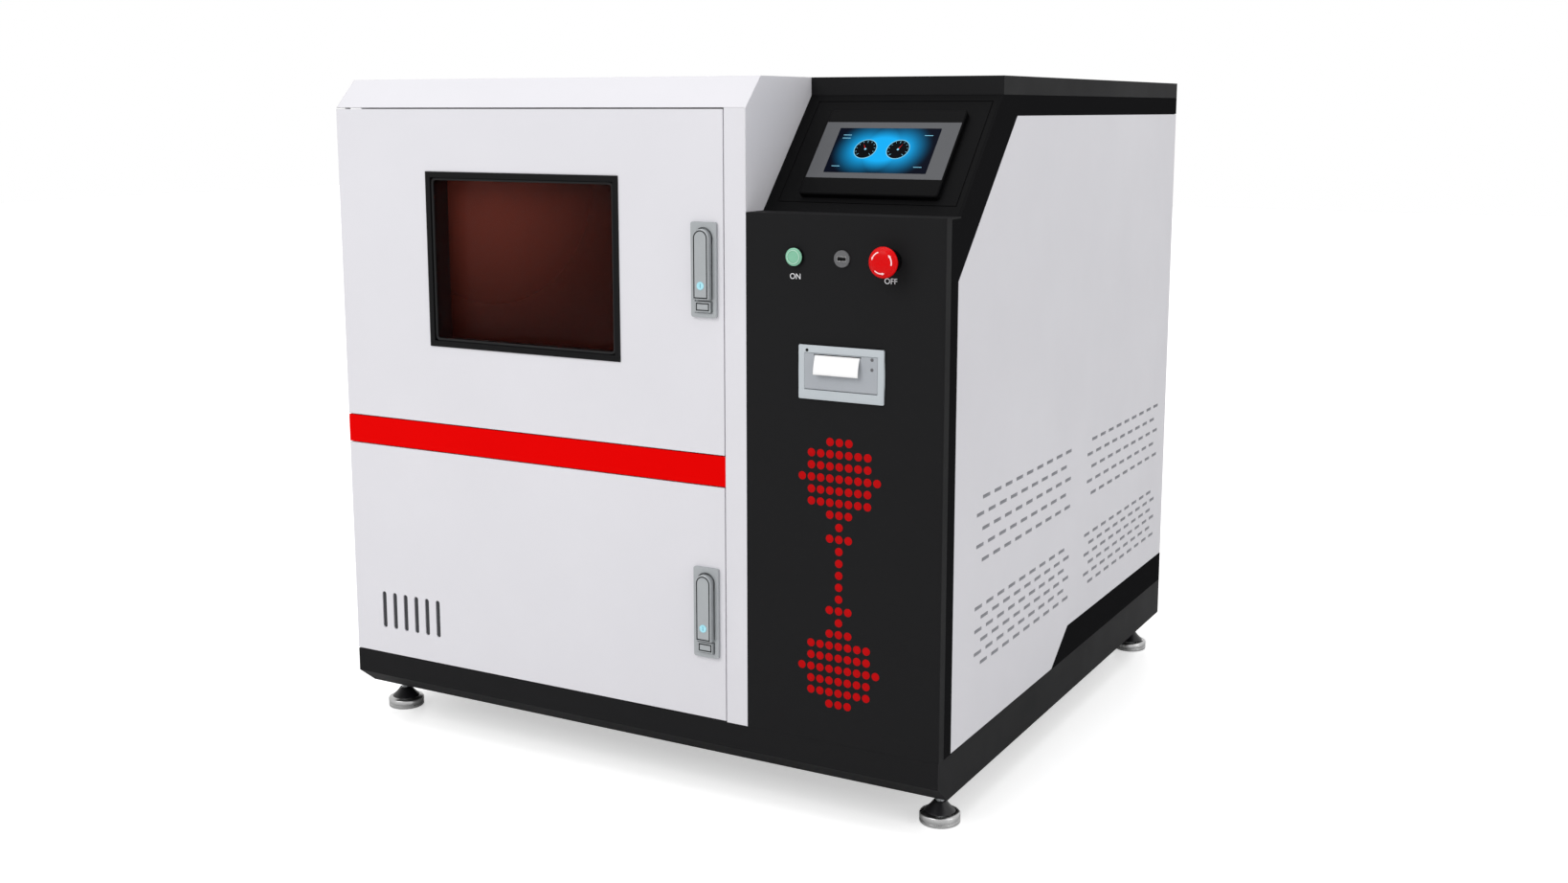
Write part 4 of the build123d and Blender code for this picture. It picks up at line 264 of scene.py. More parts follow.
def tinted_pane(name, colour, cover, reflection_gradient=None):
    """Coated glass: the cover is its opacity; the reflection gradient gives its colours from the
    light corner on, a painted reflection.
    """
    made = surface(
        name, colour, 0.05, specular=0.06, spread=0.02, grain=30.0, grain_depth=0.004, edge=0.0,
    )
    tree = made.node_tree
    shader = tree.nodes["Principled BSDF"]
    shader.inputs["Alpha"].default_value = cover
    # Colours that lighten towards one corner: a painted reflection on the tinted coat
    if reflection_gradient:
        light, dark = reflection_gradient
        coordinates = node(tree, "TexCoord")
        distance = tree.nodes.new("ShaderNodeVectorMath")
        distance.operation = "DISTANCE"
        distance.inputs[1].default_value = PANE_REFLECTION_CORNER
        join(tree, coordinates.outputs["Object"], distance.inputs[0])
        share = between(tree, distance.outputs["Value"], 0.0, 1.0, 0.0, PANE_REFLECTION_REACH)
        share.node.interpolation_type = "SMOOTHSTEP"
        join(tree, blended(tree, share, light, dark), shader.inputs["Base Color"])
    return made


def glowing(name, colour, strength):
    """Lit marks of the display, with a slight flicker of tone from place to place."""
    made = bpy.data.materials.new(name)
    made.use_nodes = True
    tree = made.node_tree
    shader = tree.nodes["Principled BSDF"]
    shader.inputs["Base Color"].default_value = (0.001, 0.001, 0.001, 1)
    shader.inputs["Roughness"].default_value = 0.2
    shader.inputs["Specular IOR Level"].default_value = 0.02
    shader.inputs["Emission Strength"].default_value = strength
    tone = noise(tree, places(tree), 400.0)
    dim = tuple(part * 0.85 for part in colour[:3]) + (1.0,)
    join(tree, blended(tree, tone, colour, dim), shader.inputs["Emission Color"])
    return made


def display_material(gauges):
    """Dark blue picture that glows around its two gauges."""
    made = bpy.data.materials.new("display_picture")
    made.use_nodes = True
    tree = made.node_tree
    shader = tree.nodes["Principled BSDF"]
    shader.inputs["Base Color"].default_value = (0.0006, 0.001, 0.003, 1)
    shader.inputs["Roughness"].default_value = 0.12
    shader.inputs["Specular IOR Level"].default_value = 0.02
    shader.inputs["Emission Strength"].default_value = 1.0
    coordinates = node(tree, "TexCoord")
    total = None
    for gauge in gauges:
        distance = tree.nodes.new("ShaderNodeVectorMath")
        distance.operation = "DISTANCE"
        distance.inputs[1].default_value = gauge
        join(tree, coordinates.outputs["Object"], distance.inputs[0])
        near = between(tree, distance.outputs["Value"], 1.0, 0.0, GLOW_START, GLOW_END)
        if total is None:
            total = near
        else:
            both = tree.nodes.new("ShaderNodeMath")
            both.operation = "ADD"
            both.use_clamp = True
            join(tree, total, both.inputs[0])
            join(tree, near, both.inputs[1])
            total = both.outputs[0]
    curve = tree.nodes.new("ShaderNodeMath")
    curve.operation = "POWER"
    curve.inputs[1].default_value = GLOW_FALL
    join(tree, total, curve.inputs[0])
    join(
        tree,
        blended(tree, curve.outputs[0], paint(2, 6, 20), paint(20, 178, 250)),
        shader.inputs["Emission Color"],
    )
    return made


WHITE = surface(
    "white_powder_coat", paint(224, 223, 228), 0.42, specular=0.3, grain_depth=0.012,
    edge=0.0012,
)
# Side panel: the front's white coat made darker, painted shade of the side turned from the light
SIDE_WHITE_PAINTED_SHADE = surface(
    "side_powder_coat_painted_shade", paint(215, 214, 219), 0.45, specular=0.3, grain_depth=0.012, edge=0.001,
)
BLACK = surface(
    "black_powder_coat", paint(30, 30, 31), 0.55, specular=0.05, grain_depth=0.03, edge=0.001,
)
# Console and side frame: the black coat made darker still, painted shade of the slope and the side
CONSOLE_PAINTED_SHADE = surface(
    "console_coat_painted_shade", paint(14, 14, 15), 0.55, specular=0.04, grain_depth=0.03, edge=0.001,
)
SIDE_BLACK_PAINTED_SHADE = surface(
    "side_frame_coat_painted_shade", paint(25, 25, 26), 0.6, specular=0.0, grain_depth=0.03, edge=0.001,
)
RED = surface(
    "red_powder_coat", paint(230, 0, 0), 0.45, specular=0.02, grain_depth=0.015, edge=0.001,
)
ZINC = surface(
    "zinc_plated_steel", (0.55, 0.56, 0.57, 1), 0.35, 0.95, blotch=60.0, spread=0.12,
    tint=(0.42, 0.44, 0.45, 1),
)
STAINLESS = surface(
    "brushed_stainless", (0.66, 0.66, 0.66, 1), 0.3, 1.0, spread=0.06, grain=260.0,
    grain_depth=0.05, stretch=(0.06, 1, 1),
)
FINS = surface(
    "fin_aluminium", (0.68, 0.69, 0.7, 1), 0.32, 1.0, blotch=25.0, grain=900.0,
    grain_depth=0.08,
)
MACHINE = surface(
    "machine_black", paint(24, 24, 27), 0.38, specular=0.4, blotch=14.0, grain=450.0,
    grain_depth=0.08,
)
WOOL = surface(
    "glass_wool", (0.72, 0.66, 0.42, 1), 0.95, specular=0.1, blotch=40.0,
    tint=(0.55, 0.47, 0.26, 1), grain=300.0, grain_depth=0.6, stretch=(1, 1, 4), edge=0.0,
)
COLLAR = surface(
    "collar_plastic", paint(120, 122, 126), 0.6, specular=0.3, grain=1200.0, grain_depth=0.05,
)
SEAL = surface("seal_rubber", paint(30, 30, 31), 0.75, specular=0.25, grain=900.0, grain_depth=0.08)
FRAME_BLACK = surface(
    "frame_black", paint(20, 20, 21), 0.45, specular=0.08, grain_depth=0.02, edge=0.0008,
)
HANDLE = surface(
    "handle_grey", paint(176, 180, 182), 0.36, 0.35, blotch=30.0, tint=paint(160, 164, 167),
    grain=1500.0, grain_depth=0.05, edge=0.0006,
)
# Key metal glows faintly in its own colour: a painted glow, as it is no lamp
KEY_PAINTED_GLOW = surface(
    "key_metal", paint(176, 226, 236), 0.25, 0.2, blotch=90.0, tint=paint(150, 214, 228),
    edge=0.0003, painted_glow=0.1,
)
BEZEL = surface(
    "bezel_black", paint(10, 10, 11), 0.35, specular=0.04, grain=1600.0, grain_depth=0.04,
    edge=0.0006,
)
SCREEN = surface(
    "screen_glass", paint(92, 93, 96), 0.18, specular=0.06, blotch=9.0, grain=40.0,
    grain_depth=0.003, edge=0.0004,
)
GREEN = surface(
    "button_green", paint(140, 196, 168), 0.25, specular=0.2, blotch=120.0,
    tint=paint(122, 182, 152), edge=0.0004,
)
GREEN_RING = surface(
    "button_ring_green", paint(184, 222, 202), 0.3, specular=0.2, blotch=200.0, edge=0.0,
)
SOCKET = surface(
    "socket_grey", paint(104, 104, 106), 0.45, specular=0.15, blotch=60.0, grain=1400.0,
    grain_depth=0.05, edge=0.0004,
)
STOP = surface(
    "stop_red", paint(222, 2, 6), 0.28, specular=0.12, blotch=50.0, tint=paint(204, 0, 4),
    edge=0.0005,
)
ARROW = surface(
    "arrow_white", paint(248, 214, 216), 0.4, blotch=300.0, tint=paint(250, 215, 218), edge=0.0,
)
PRINTER = surface(
    "printer_grey", paint(192, 198, 202), 0.45, specular=0.15, blotch=20.0,
    tint=paint(184, 191, 196), grain=1300.0, grain_depth=0.05, edge=0.0008,
)
LID = surface(
    "printer_lid_grey", paint(172, 176, 181), 0.5, specular=0.12, blotch=20.0,
    tint=paint(164, 168, 174), grain=1300.0, grain_depth=0.05, edge=0.0008,
)
PAPER = surface(
    "paper_white", paint(252, 252, 252), 0.8, specular=0.2, blotch=300.0,
    tint=paint(246, 246, 246), grain=2500.0, grain_depth=0.05, edge=0.0,
)
FILTER = surface(
    "filter_mat", paint(70, 71, 74), 0.9, specular=0.1, blotch=90.0, grain=500.0,
    grain_depth=0.6, edge=0.0,
)
FOOT = surface(
    "foot_steel", (0.5, 0.5, 0.5, 1), 0.25, 1.0, blotch=30.0, spread=0.08, stretch=(1, 1, 30),
    grain=120.0, grain_depth=0.04, edge=0.0006,
)
BRASS = surface(
    "brass_fitting", (0.78, 0.58, 0.26, 1), 0.3, 1.0, blotch=40.0, spread=0.08, edge=0.0006,
)
# Dark plastic of the lamp's lens, and painted shade of the paper slot
DARK_LENS_AND_SLOT_SHADE = surface("dark_lens_and_slot_shade", paint(12, 12, 13), 0.7, specular=0.1, edge=0.0)
DOT = surface(
    "dot_red", paint(192, 16, 18), 0.4, specular=0.02, blotch=200.0, tint=paint(174, 12, 16),
    edge=0.0,
)
# Dark lines on the levers and buttons: painted shade of a groove
PAINTED_GROOVE_SHADE = surface("painted_groove_shade", paint(34, 36, 38), 0.6, specular=0.05, blotch=200.0, edge=0.0)
# Louvre pockets: the side panel's sheet coated darker, painted shade in the dents
LOUVRE_POCKET_SHADE = surface(
    "louvre_pocket_painted_shade", paint(158, 159, 164), 0.5, specular=0.1, blotch=60.0, edge=0.0,
)
MARK = surface("mark_white", paint(235, 235, 238), 0.6, specular=0.2, blotch=500.0, edge=0.0)
GOLD = surface("contact_gold", (0.85, 0.62, 0.25, 1), 0.25, 1.0, blotch=400.0, edge=0.0)
OUTER_PANE = tinted_pane("outer_pane_tint", paint(50, 14, 10), 0.1)
# Inner coat: nearly opaque dark red as painted shade of the dark inside, lighter at the upper left
# as a painted reflection
INNER_PANE_SHADE_AND_REFLECTION = tinted_pane(
    "inner_pane_painted_shade_and_reflection", paint(56, 20, 15), 0.94, (paint(108, 50, 40), paint(44, 16, 12)),
)

FINISHES = {
    "white_paint": WHITE,
    "red_paint": RED,
    "black_paint": BLACK,
    "side_paint": SIDE_WHITE_PAINTED_SHADE,
    "zinc_steel": ZINC,
    "stainless": STAINLESS,
    "fin_aluminium": FINS,
    "machine_black": MACHINE,
    "glass_wool": WOOL,
    "collar_plastic": COLLAR,
    "seal_rubber": SEAL,
    "dark_frame": FRAME_BLACK,
    "tinted_glass": OUTER_PANE,
    "handle_grey": HANDLE,
    "key_metal": KEY_PAINTED_GLOW,
    "bezel_black": BEZEL,
    "screen_glass": SCREEN,
    "button_green": GREEN,
    "socket_grey": SOCKET,
    "stop_red": STOP,
    "printer_grey": PRINTER,
    "paper_white": PAPER,
    "filter_mat": FILTER,
    "foot_steel": FOOT,
    "brass_fitting": BRASS,
}
# The console and the side frame take the darker copies of the black coat, as painted shade
PAINTED_SHADE_FINISH = {"console_panel": CONSOLE_PAINTED_SHADE, "side_frame": SIDE_BLACK_PAINTED_SHADE}
SLOT_OF = {part["node"]: part["material_slot"] for part in frame["record"]["subparts"]}
for name, slot_name in SLOT_OF.items():
    for place in frame["nodes"][name].material_slots:
        place.material = PAINTED_SHADE_FINISH.get(name, FINISHES[slot_name])


# Mesh tools

def finish_piece(name, mesh, material, body, smooth=35.0):
    """Object from a bmesh: shaded, given its material and put on its body."""
    bmesh.ops.recalc_face_normals(mesh, faces=mesh.faces)
    data = bpy.data.meshes.new(name)
    mesh.to_mesh(data)
    mesh.free()
    data.shade_smooth()
    data.set_sharp_from_angle(angle=math.radians(smooth))
    data.materials.append(material)
    made = bpy.data.objects.new(name, data)
    bpy.context.collection.objects.link(made)
    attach(made, body)
    return made


def on_front(x, y, z):
    """Places on a face that looks to -Y: across, up, out."""
    return lambda u, v, w: Vector((x + u, y - w, z + v))


def on_back(x, y, z):
    """Places on a face that looks to +Y: across, up, out."""
    return lambda u, v, w: Vector((x - u, y + w, z + v))


def on_floor(x, y):
    """Places over a point of the floor: across, deep, up."""
    return lambda u, v, w: Vector((x + u, y + v, w))


def on_slope(across, up, out):
    """Places on the console's slope: across, up, out."""
    start = SLOPE_START + Vector((across, 0, 0)) + up * SLOPE_UP + out * SLOPE_OUT
    return lambda u, v, w: start + Vector((u, 0, 0)) + v * SLOPE_UP + w * SLOPE_OUT


def prism(mesh, outline, low, high, place):
    """Closed outline carried from one depth to another."""
    near = [mesh.verts.new(place(u, v, low)) for u, v in outline]
    far = [mesh.verts.new(place(u, v, high)) for u, v in outline]
    mesh.faces.new(near[::-1])
    mesh.faces.new(far)
    for index in range(len(outline)):
        after = (index + 1) % len(outline)
        mesh.faces.new((near[index], near[after], far[after], far[index]))


def layered(mesh, outline_of, layers, place, close=True):
    """Skin through outlines: each layer is an inset and a depth."""
    rings = []
    for inset, depth in layers:
        rings.append([mesh.verts.new(place(u, v, depth)) for u, v in outline_of(inset)])
    count = len(rings[0])
    for lower, upper in zip(rings, rings[1:]):
        for index in range(count):
            after = (index + 1) % count
            mesh.faces.new((lower[index], lower[after], upper[after], upper[index]))
    if close:
        mesh.faces.new(rings[0][::-1])
        mesh.faces.new(rings[-1])
    return rings


def rounded(width, height, radius, steps=6):
    """Outline of a rectangle with round corners, for an inset."""
    def outline(inset=0.0):
        half_u = width / 2 - inset
        half_v = height / 2 - inset
        corner = max(radius - inset, 0.0002)
        points = []
        for quarter, (side_u, side_v) in enumerate(((1, 1), (-1, 1), (-1, -1), (1, -1))):
            for step in range(steps + 1):
                angle = math.pi / 2 * (quarter + step / steps)
                points.append((
                    side_u * (half_u - corner) + corner * math.cos(angle),
                    side_v * (half_v - corner) + corner * math.sin(angle),
                ))
        return points
    return outline


def bowed(width, height, bow, steps=8):
    """Outline of a rectangle whose two upright sides bow outwards, for an inset."""
    def outline(inset=0.0):
        half_u = width / 2 - inset
        half_v = height / 2 - inset
        points = []
        for side in (1, -1):
            for step in range(steps + 1):
                rise = side * (2 * step / steps - 1)
                points.append((side * (half_u + bow * (1 - rise * rise)), rise * half_v))
        return points
    return outline


def disc(radius, steps=24):
    """Outline of a circle, for an inset."""
    def outline(inset=0.0):
        reach = radius - inset
        return [
            (
                reach * math.cos(2 * math.pi * step / steps),
                reach * math.sin(2 * math.pi * step / steps),
            )
            for step in range(steps)
        ]
    return outline


def lathe(mesh, profile, place, steps=64):
    """Skin of a profile, (radius, out) from the middle of one end to the middle of the other."""
    rings = []
    for radius, out in profile:
        if radius < 1e-6:
            rings.append([mesh.verts.new(place(0, 0, out))])
        else:
            rings.append([
                mesh.verts.new(place(
                    radius * math.cos(2 * math.pi * step / steps),
                    radius * math.sin(2 * math.pi * step / steps),
                    out,
                ))
                for step in range(steps)
            ])
    for lower, upper in zip(rings, rings[1:]):
        for step in range(steps):
            after = (step + 1) % steps
            corners = [
                lower[step % len(lower)],
                lower[after % len(lower)],
                upper[after % len(upper)],
                upper[step % len(upper)],
            ]
            face = []
            for corner in corners:
                if corner not in face:
                    face.append(corner)
            if len(face) > 2:
                mesh.faces.new(face)


def middle(name):
    """Middle of the box of a part's solid."""
    low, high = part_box(name)
    return (low + high) / 2


# Window

def window():
    """Two panes with ground edges, the inner one coated, and the seal round the front one. The
    inner coat is nearly opaque, painted shade of the dark inside, with a painted reflection at its
    upper left.
    """
    low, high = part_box("window_panes")
    centre = (low + high) / 2
    size = high - low
    depth = 0.004
    outline = rounded(size.x, size.z, 0.003)
    for name, front, material in (
        ("outer_pane", low.y, OUTER_PANE),
        ("inner_pane", high.y - depth, INNER_PANE_SHADE_AND_REFLECTION),
    ):
        mesh = bmesh.new()
        layered(
            mesh,
            outline,
            ((0.0006, -depth), (0, -depth + 0.0006), (0, -0.0006), (0.0006, 0)),
            on_front(centre.x, front, centre.z),
        )
        pane = finish_piece(name, mesh, material, "upper_door")
        if name == "outer_pane":
            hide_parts("window_panes")
    mesh = bmesh.new()
    border = 0.008
    inner = rounded(size.x - 2 * border, size.z - 2 * border, 0.004)
    lip = 0.0022
    layers = (
        (0.0, 0.0),
        (0.0, lip * 0.6),
        (-lip * 0.4, lip),
        (-lip * 1.4, lip),
        (-lip * 2, lip * 0.4),
        (-lip * 2, 0.0),
    )
    layered(mesh, inner, layers, on_front(centre.x, low.y, centre.z), close=False)
    finish_piece("window_glazing_seal", mesh, SEAL, "upper_door")


# Operator panel

def operator_panel():
    """Picture, gauges and bars, each a hair in front of the one behind it."""
    glass_out = PANEL_PROUD + 0.00005
    outline = rounded(DISPLAY_WIDTH, DISPLAY_HEIGHT, 0.001, 3)
    gauges = (-0.17 * DISPLAY_WIDTH, 0.15 * DISPLAY_WIDTH)
    centres = [on_slope(DISPLAY_ACROSS, DISPLAY_UP, glass_out)(u, GAUGE_LIFT, 0) for u in gauges]
    mesh = bmesh.new()
    prism(mesh, outline(), 0, 0.00015, on_slope(DISPLAY_ACROSS, DISPLAY_UP, glass_out))
    finish_piece("display_picture", mesh, display_material(centres), "cabinet")
    pale = glowing("gauge_pale", paint(150, 226, 255), 1.0)
    dark = glowing("gauge_dark", paint(6, 10, 22), 0.4)
    needle_red = glowing("gauge_needle", paint(240, 40, 44), 1.0)
    faces = bmesh.new()
    rings = bmesh.new()
    needles = bmesh.new()
    ring_width = 0.0009
    rim = ((0, FACE_HIGH), (0, RING_HIGH), (ring_width, RING_HIGH), (ring_width, FACE_HIGH))
    for number, u in enumerate(gauges):
        place = on_slope(DISPLAY_ACROSS + u, DISPLAY_UP + GAUGE_LIFT, glass_out)
        prism(faces, disc(GAUGE_RADIUS, 40)(), FACE_LOW, FACE_HIGH, place)
        layered(rings, disc(GAUGE_RADIUS, 48), rim, place, close=False)
        for tick in range(TICKS):
            angle = math.radians(TICK_START - TICK_STEP * tick)
            along = Vector((math.cos(angle), math.sin(angle)))
            across = Vector((-along.y, along.x)) * TICK_HALF
            tip = along * GAUGE_RADIUS * TICK_TIP
            root = along * GAUGE_RADIUS * (LONG_TICK_ROOT if tick % 5 == 0 else TICK_ROOT)
            ends = (root - across, tip - across, tip + across, root + across)
            prism(rings, [tuple(end) for end in ends], FACE_HIGH, RING_HIGH, place)
        angle = math.radians(120 - 55 * number)
        along = Vector((math.cos(angle), math.sin(angle)))
        across = Vector((-along.y, along.x)) * NEEDLE_HALF
        tip = along * GAUGE_RADIUS * NEEDLE_TIP
        prism(needles, [tuple(-across), tuple(tip), tuple(across)], FACE_HIGH, NEEDLE_HIGH, place)
        prism(rings, disc(HUB_RADIUS, 16)(), FACE_HIGH, HUB_HIGH, place)
    # Short bars of the picture, as shares of its width and height
    bars = ((-0.4, 0.34), (-0.4, 0.27), (0.4, 0.34), (0.4, -0.36), (-0.4, -0.36))
    for share_u, share_v in bars:
        across = DISPLAY_ACROSS + share_u * DISPLAY_WIDTH
        place = on_slope(across, DISPLAY_UP + share_v * DISPLAY_HEIGHT, glass_out)
        prism(rings, rounded(0.012, 0.0008, 0.0003, 2)(), FACE_LOW, FACE_HIGH, place)
    finish_piece("gauge_faces", faces, dark, "cabinet")
    finish_piece("gauge_rings", rings, pale, "cabinet")
    finish_piece("gauge_needles", needles, needle_red, "cabinet")


# Controls on the column

def power_button():
    """Domed lens on its stem, with a paler ring let into it."""
    low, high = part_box("power_cap")
    centre = middle("power_cap")
    radius = (high.x - low.x) / 2
    proud = FRONT - low.y
    mesh = bmesh.new()
    stem_radius = 0.0078
    stem_depth = 0.0118
    cap_depth = 0.003
    back = proud - cap_depth
    profile = [
        (0, -stem_depth),
        (stem_radius, -stem_depth),
        (stem_radius, back),
        (radius, back),
        (radius, back + 0.001),
    ]
    dome_steps = 6
    dome_low = 0.0012
    dome_rise = 0.0018
    # Brings the dome's first ring, at 15 degrees, out to the radius
    dome_widen = 1.0353
    for step in range(dome_steps):
        share = step / dome_steps
        reach = radius * math.cos(math.radians(15 + 75 * share)) * dome_widen
        out = back + dome_low + dome_rise * math.sin(math.radians(90 * share))
        profile.append((reach, out))
    profile.append((0, proud))
    lathe(mesh, profile, on_front(centre.x, FRONT, centre.z))
    cap = finish_piece("power_lens", mesh, GREEN, "power_button", 50)
    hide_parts("power_cap")
    mesh = bmesh.new()
    rim = ((0.0026, 0.0), (0.0026, 0.0003), (0.0036, 0.0003), (0.0036, 0.0))
    layered(mesh, disc(radius, 48), rim, on_front(centre.x, low.y + 0.0003, centre.z), close=False)
    finish_piece("power_lens_ring", mesh, GREEN_RING, "power_button", 50)


# Dark outlines laid on the faces of the levers and buttons: painted shade of a groove round their
# edges

def arched(half, low, high, steps=16):
    """Outline of an upright bar with a half-round top, for an inset."""
    def outline(inset=0.0):
        reach = half - inset
        points = [(-reach, low + inset), (reach, low + inset)]
        for step in range(steps + 1):
            angle = math.pi * step / steps
            points.append((reach * math.cos(angle), high - half + reach * math.sin(angle)))
        return points
    return outline


def handle_outlines():
    """A dark line just inside the edge of each lever and each button, as painted shade of a groove.
    """
    inset = 0.0018
    width = 0.0015
    rise = 0.0002
    layers = ((inset, 0.0), (inset, rise), (inset + width, rise), (inset + width, 0.0))
    for tag in ("upper", "lower"):
        for piece, body in (("lever", f"{tag}_lever"), ("button", f"{tag}_button")):
            low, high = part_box(f"{tag}_handle_{piece}")
            half_u = (high.x - low.x) / 2
            half_v = (high.z - low.z) / 2
            outline = arched(half_u, -half_v, half_v)
            if piece == "button":
                outline = rounded(2 * half_u, 2 * half_v, 0.001, 3)
            mesh = bmesh.new()
            place = on_front((low.x + high.x) / 2, low.y, (low.z + high.z) / 2)
            layered(mesh, outline, layers, place, close=False)
            finish_piece(f"{tag}_{piece}_outline", mesh, PAINTED_GROOVE_SHADE, body, 40)


def usb_details():
    """Metal rim of the socket's mouth and its four contacts."""
    centre = middle("usb_socket")
    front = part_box("usb_socket")[0].y
    mesh = bmesh.new()
    layered(
        mesh,
        rounded(0.0133, 0.0062, 0.0007),
        ((0.0, 0.0), (0.0, 0.00025), (0.0004, 0.00025), (0.00045, 0.0), (0.00045, -0.003)),
        on_front(centre.x, front, centre.z),
        close=False,
    )
    finish_piece("usb_shell", mesh, FOOT, "cabinet")
    mesh = bmesh.new()
    contact_pitch = 0.0024
    contact_length = 0.004
    contact_in = 0.0066
    contact_up = 0.0006
    strip = [(-0.0005, -0.0002), (0.0005, -0.0002), (0.0005, 0.0), (-0.0005, 0.0)]
    for contact in range(4):
        across = centre.x + (contact - 1.5) * contact_pitch
        place = on_front(across, front + contact_in, centre.z + contact_up)
        prism(mesh, strip, -contact_length, 0.0, place)
    finish_piece("usb_contacts", mesh, GOLD, "cabinet")


def stop_profile(height):
    """Half profile of the mushroom head, (radius, out) from its back."""
    return [
        (0.0, 0.0),
        (0.0145, 0.0),
        (0.0185, 0.0040),
        (0.0198, 0.0056),
        (0.0200, 0.0068),
        (0.0197, 0.0080),
        (0.0188, 0.0094),
        (0.0176, 0.0102),
        (0.0170, 0.0102),
        (0.0165, 0.0108),
        (0.0150, 0.0120),
        (0.0115, 0.0132),
        (0.0060, height - 0.0002),
        (0.0, height),
    ]


def out_at(profile, radius):
    """Height of the front skin of a profile at a radius."""
    outer = max(range(len(profile)), key=lambda index: profile[index][0])
    front = profile[outer:]
    for (r_one, h_one), (r_two, h_two) in zip(front, front[1:]):
        if r_two <= radius <= r_one:
            share = (r_one - radius) / max(r_one - r_two, 1e-9)
            return h_one + share * (h_two - h_one)
    return front[-1][1]


def stop_button():
    """Mushroom head and three curved arrows on its rim."""
    low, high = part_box("estop_head")
    centre = middle("estop_head")
    profile = stop_profile(high.y - low.y)
    place = on_front(centre.x, high.y, centre.z)
    mesh = bmesh.new()
    lathe(mesh, profile, place, 72)
    head = finish_piece("stop_head", mesh, STOP, "estop_knob", 60)
    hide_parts("estop_head")
    mesh = bmesh.new()
    steps = 14
    sweep = 60
    middle_radius = 0.0138
    half_width = 0.0008
    head_half = 0.0016
    head_steps = 3
    arrow_rise = 0.00015
    for first in (-12, 108, 228):
        rows = []
        for step in range(steps + 1):
            angle = math.radians(first + sweep * step / steps)
            half = half_width
            if step >= steps - head_steps:
                half = head_half * (steps - step) / head_steps
            ring = []
            for radius in (middle_radius - half, middle_radius + half):
                out = out_at(profile, radius) + arrow_rise
                spot = place(radius * math.cos(angle), radius * math.sin(angle), out)
                ring.append(mesh.verts.new(spot))
            rows.append(ring)
        for one, two in zip(rows, rows[1:]):
            if (one[0].co - one[1].co).length > 1e-6 or (two[0].co - two[1].co).length > 1e-6:
                mesh.faces.new((one[0], one[1], two[1], two[0]))
    bmesh.ops.remove_doubles(mesh, verts=mesh.verts, dist=1e-6)
    finish_piece("stop_arrows", mesh, ARROW, "estop_knob")


def words():
    """Plain ON and OFF marks under the power and stop buttons."""
    marks = (("mark_on", "ON", "power_cap"), ("mark_off", "OFF", "estop_head"))
    for name, text, above in marks:
        x = middle(above).x
        curve = bpy.data.curves.new(name, "FONT")
        curve.body = text
        curve.size = MARK_SIZE
        curve.align_x = "CENTER"
        curve.extrude = 0.00004
        drawn = bpy.data.objects.new(name + "_text", curve)
        bpy.context.collection.objects.link(drawn)
        bpy.context.view_layer.update()
        mesh = bmesh.new()
        shaped = drawn.evaluated_get(bpy.context.evaluated_depsgraph_get())
        mesh.from_mesh(bpy.data.meshes.new_from_object(shaped))
        bpy.data.objects.remove(drawn)
        for vertex in mesh.verts:
            u, v, w = vertex.co
            vertex.co = Vector((x + u, FRONT - MARK_RISE - w, MARK_Z + v))
        finish_piece(name, mesh, MARK, "cabinet", 20)


# Receipt printer

BEZEL_OUT = 0.0033
OPENING_GAP = 0.0005


def bezel(low, high, opening):
    """Frame with bowed sides round the printer's opening."""
    half_u, opening_low, opening_top = opening
    outer = bowed(high.x - low.x - 0.002, high.z - low.z, 0.0016)
    place = on_front((low.x + high.x) / 2, FRONT, (low.z + high.z) / 2)
    mesh = bmesh.new()
    rings = []
    for inset, depth in ((0.0, 0.0), (0.0, 0.0022), (0.0004, 0.0029), (0.0012, BEZEL_OUT)):
        rings.append([mesh.verts.new(place(u, v, depth)) for u, v in outer(inset)])
    count = len(rings[0])
    for depth in (BEZEL_OUT, -0.001):
        ring = []
        for side in (1, -1):
            for step in range(count // 2):
                share = step / (count // 2 - 1)
                climb = share if side > 0 else 1 - share
                rise = opening_low + (opening_top - opening_low) * climb
                ring.append(mesh.verts.new(place(side * half_u, rise, depth)))
        rings.append(ring)
    for lower, upper in zip(rings, rings[1:]):
        for index in range(count):
            after = (index + 1) % count
            mesh.faces.new((lower[index], lower[after], upper[after], upper[index]))
    finish_piece("printer_bezel", mesh, PRINTER, "cabinet", 30)


def cover(centre_x, centre_z, opening, front):
    """Shell of the cover, a little smaller than the opening."""
    half_u, opening_low, opening_top = opening
    width = 2 * half_u - 0.001
    height = opening_top - opening_low - 0.002
    layers = ((0.0, 0.0), (0.0, front + 0.0002), (0.0004, front + 0.0005), (0.0018, front + 0.0005))
    place = on_front(centre_x, FRONT, centre_z + (opening_top + opening_low) / 2)
    mesh = bmesh.new()
    layered(mesh, rounded(width, height, 0.0008, 3), layers, place)
    finish_piece("printer_cover_shell", mesh, LID, "printer_lid", 30)


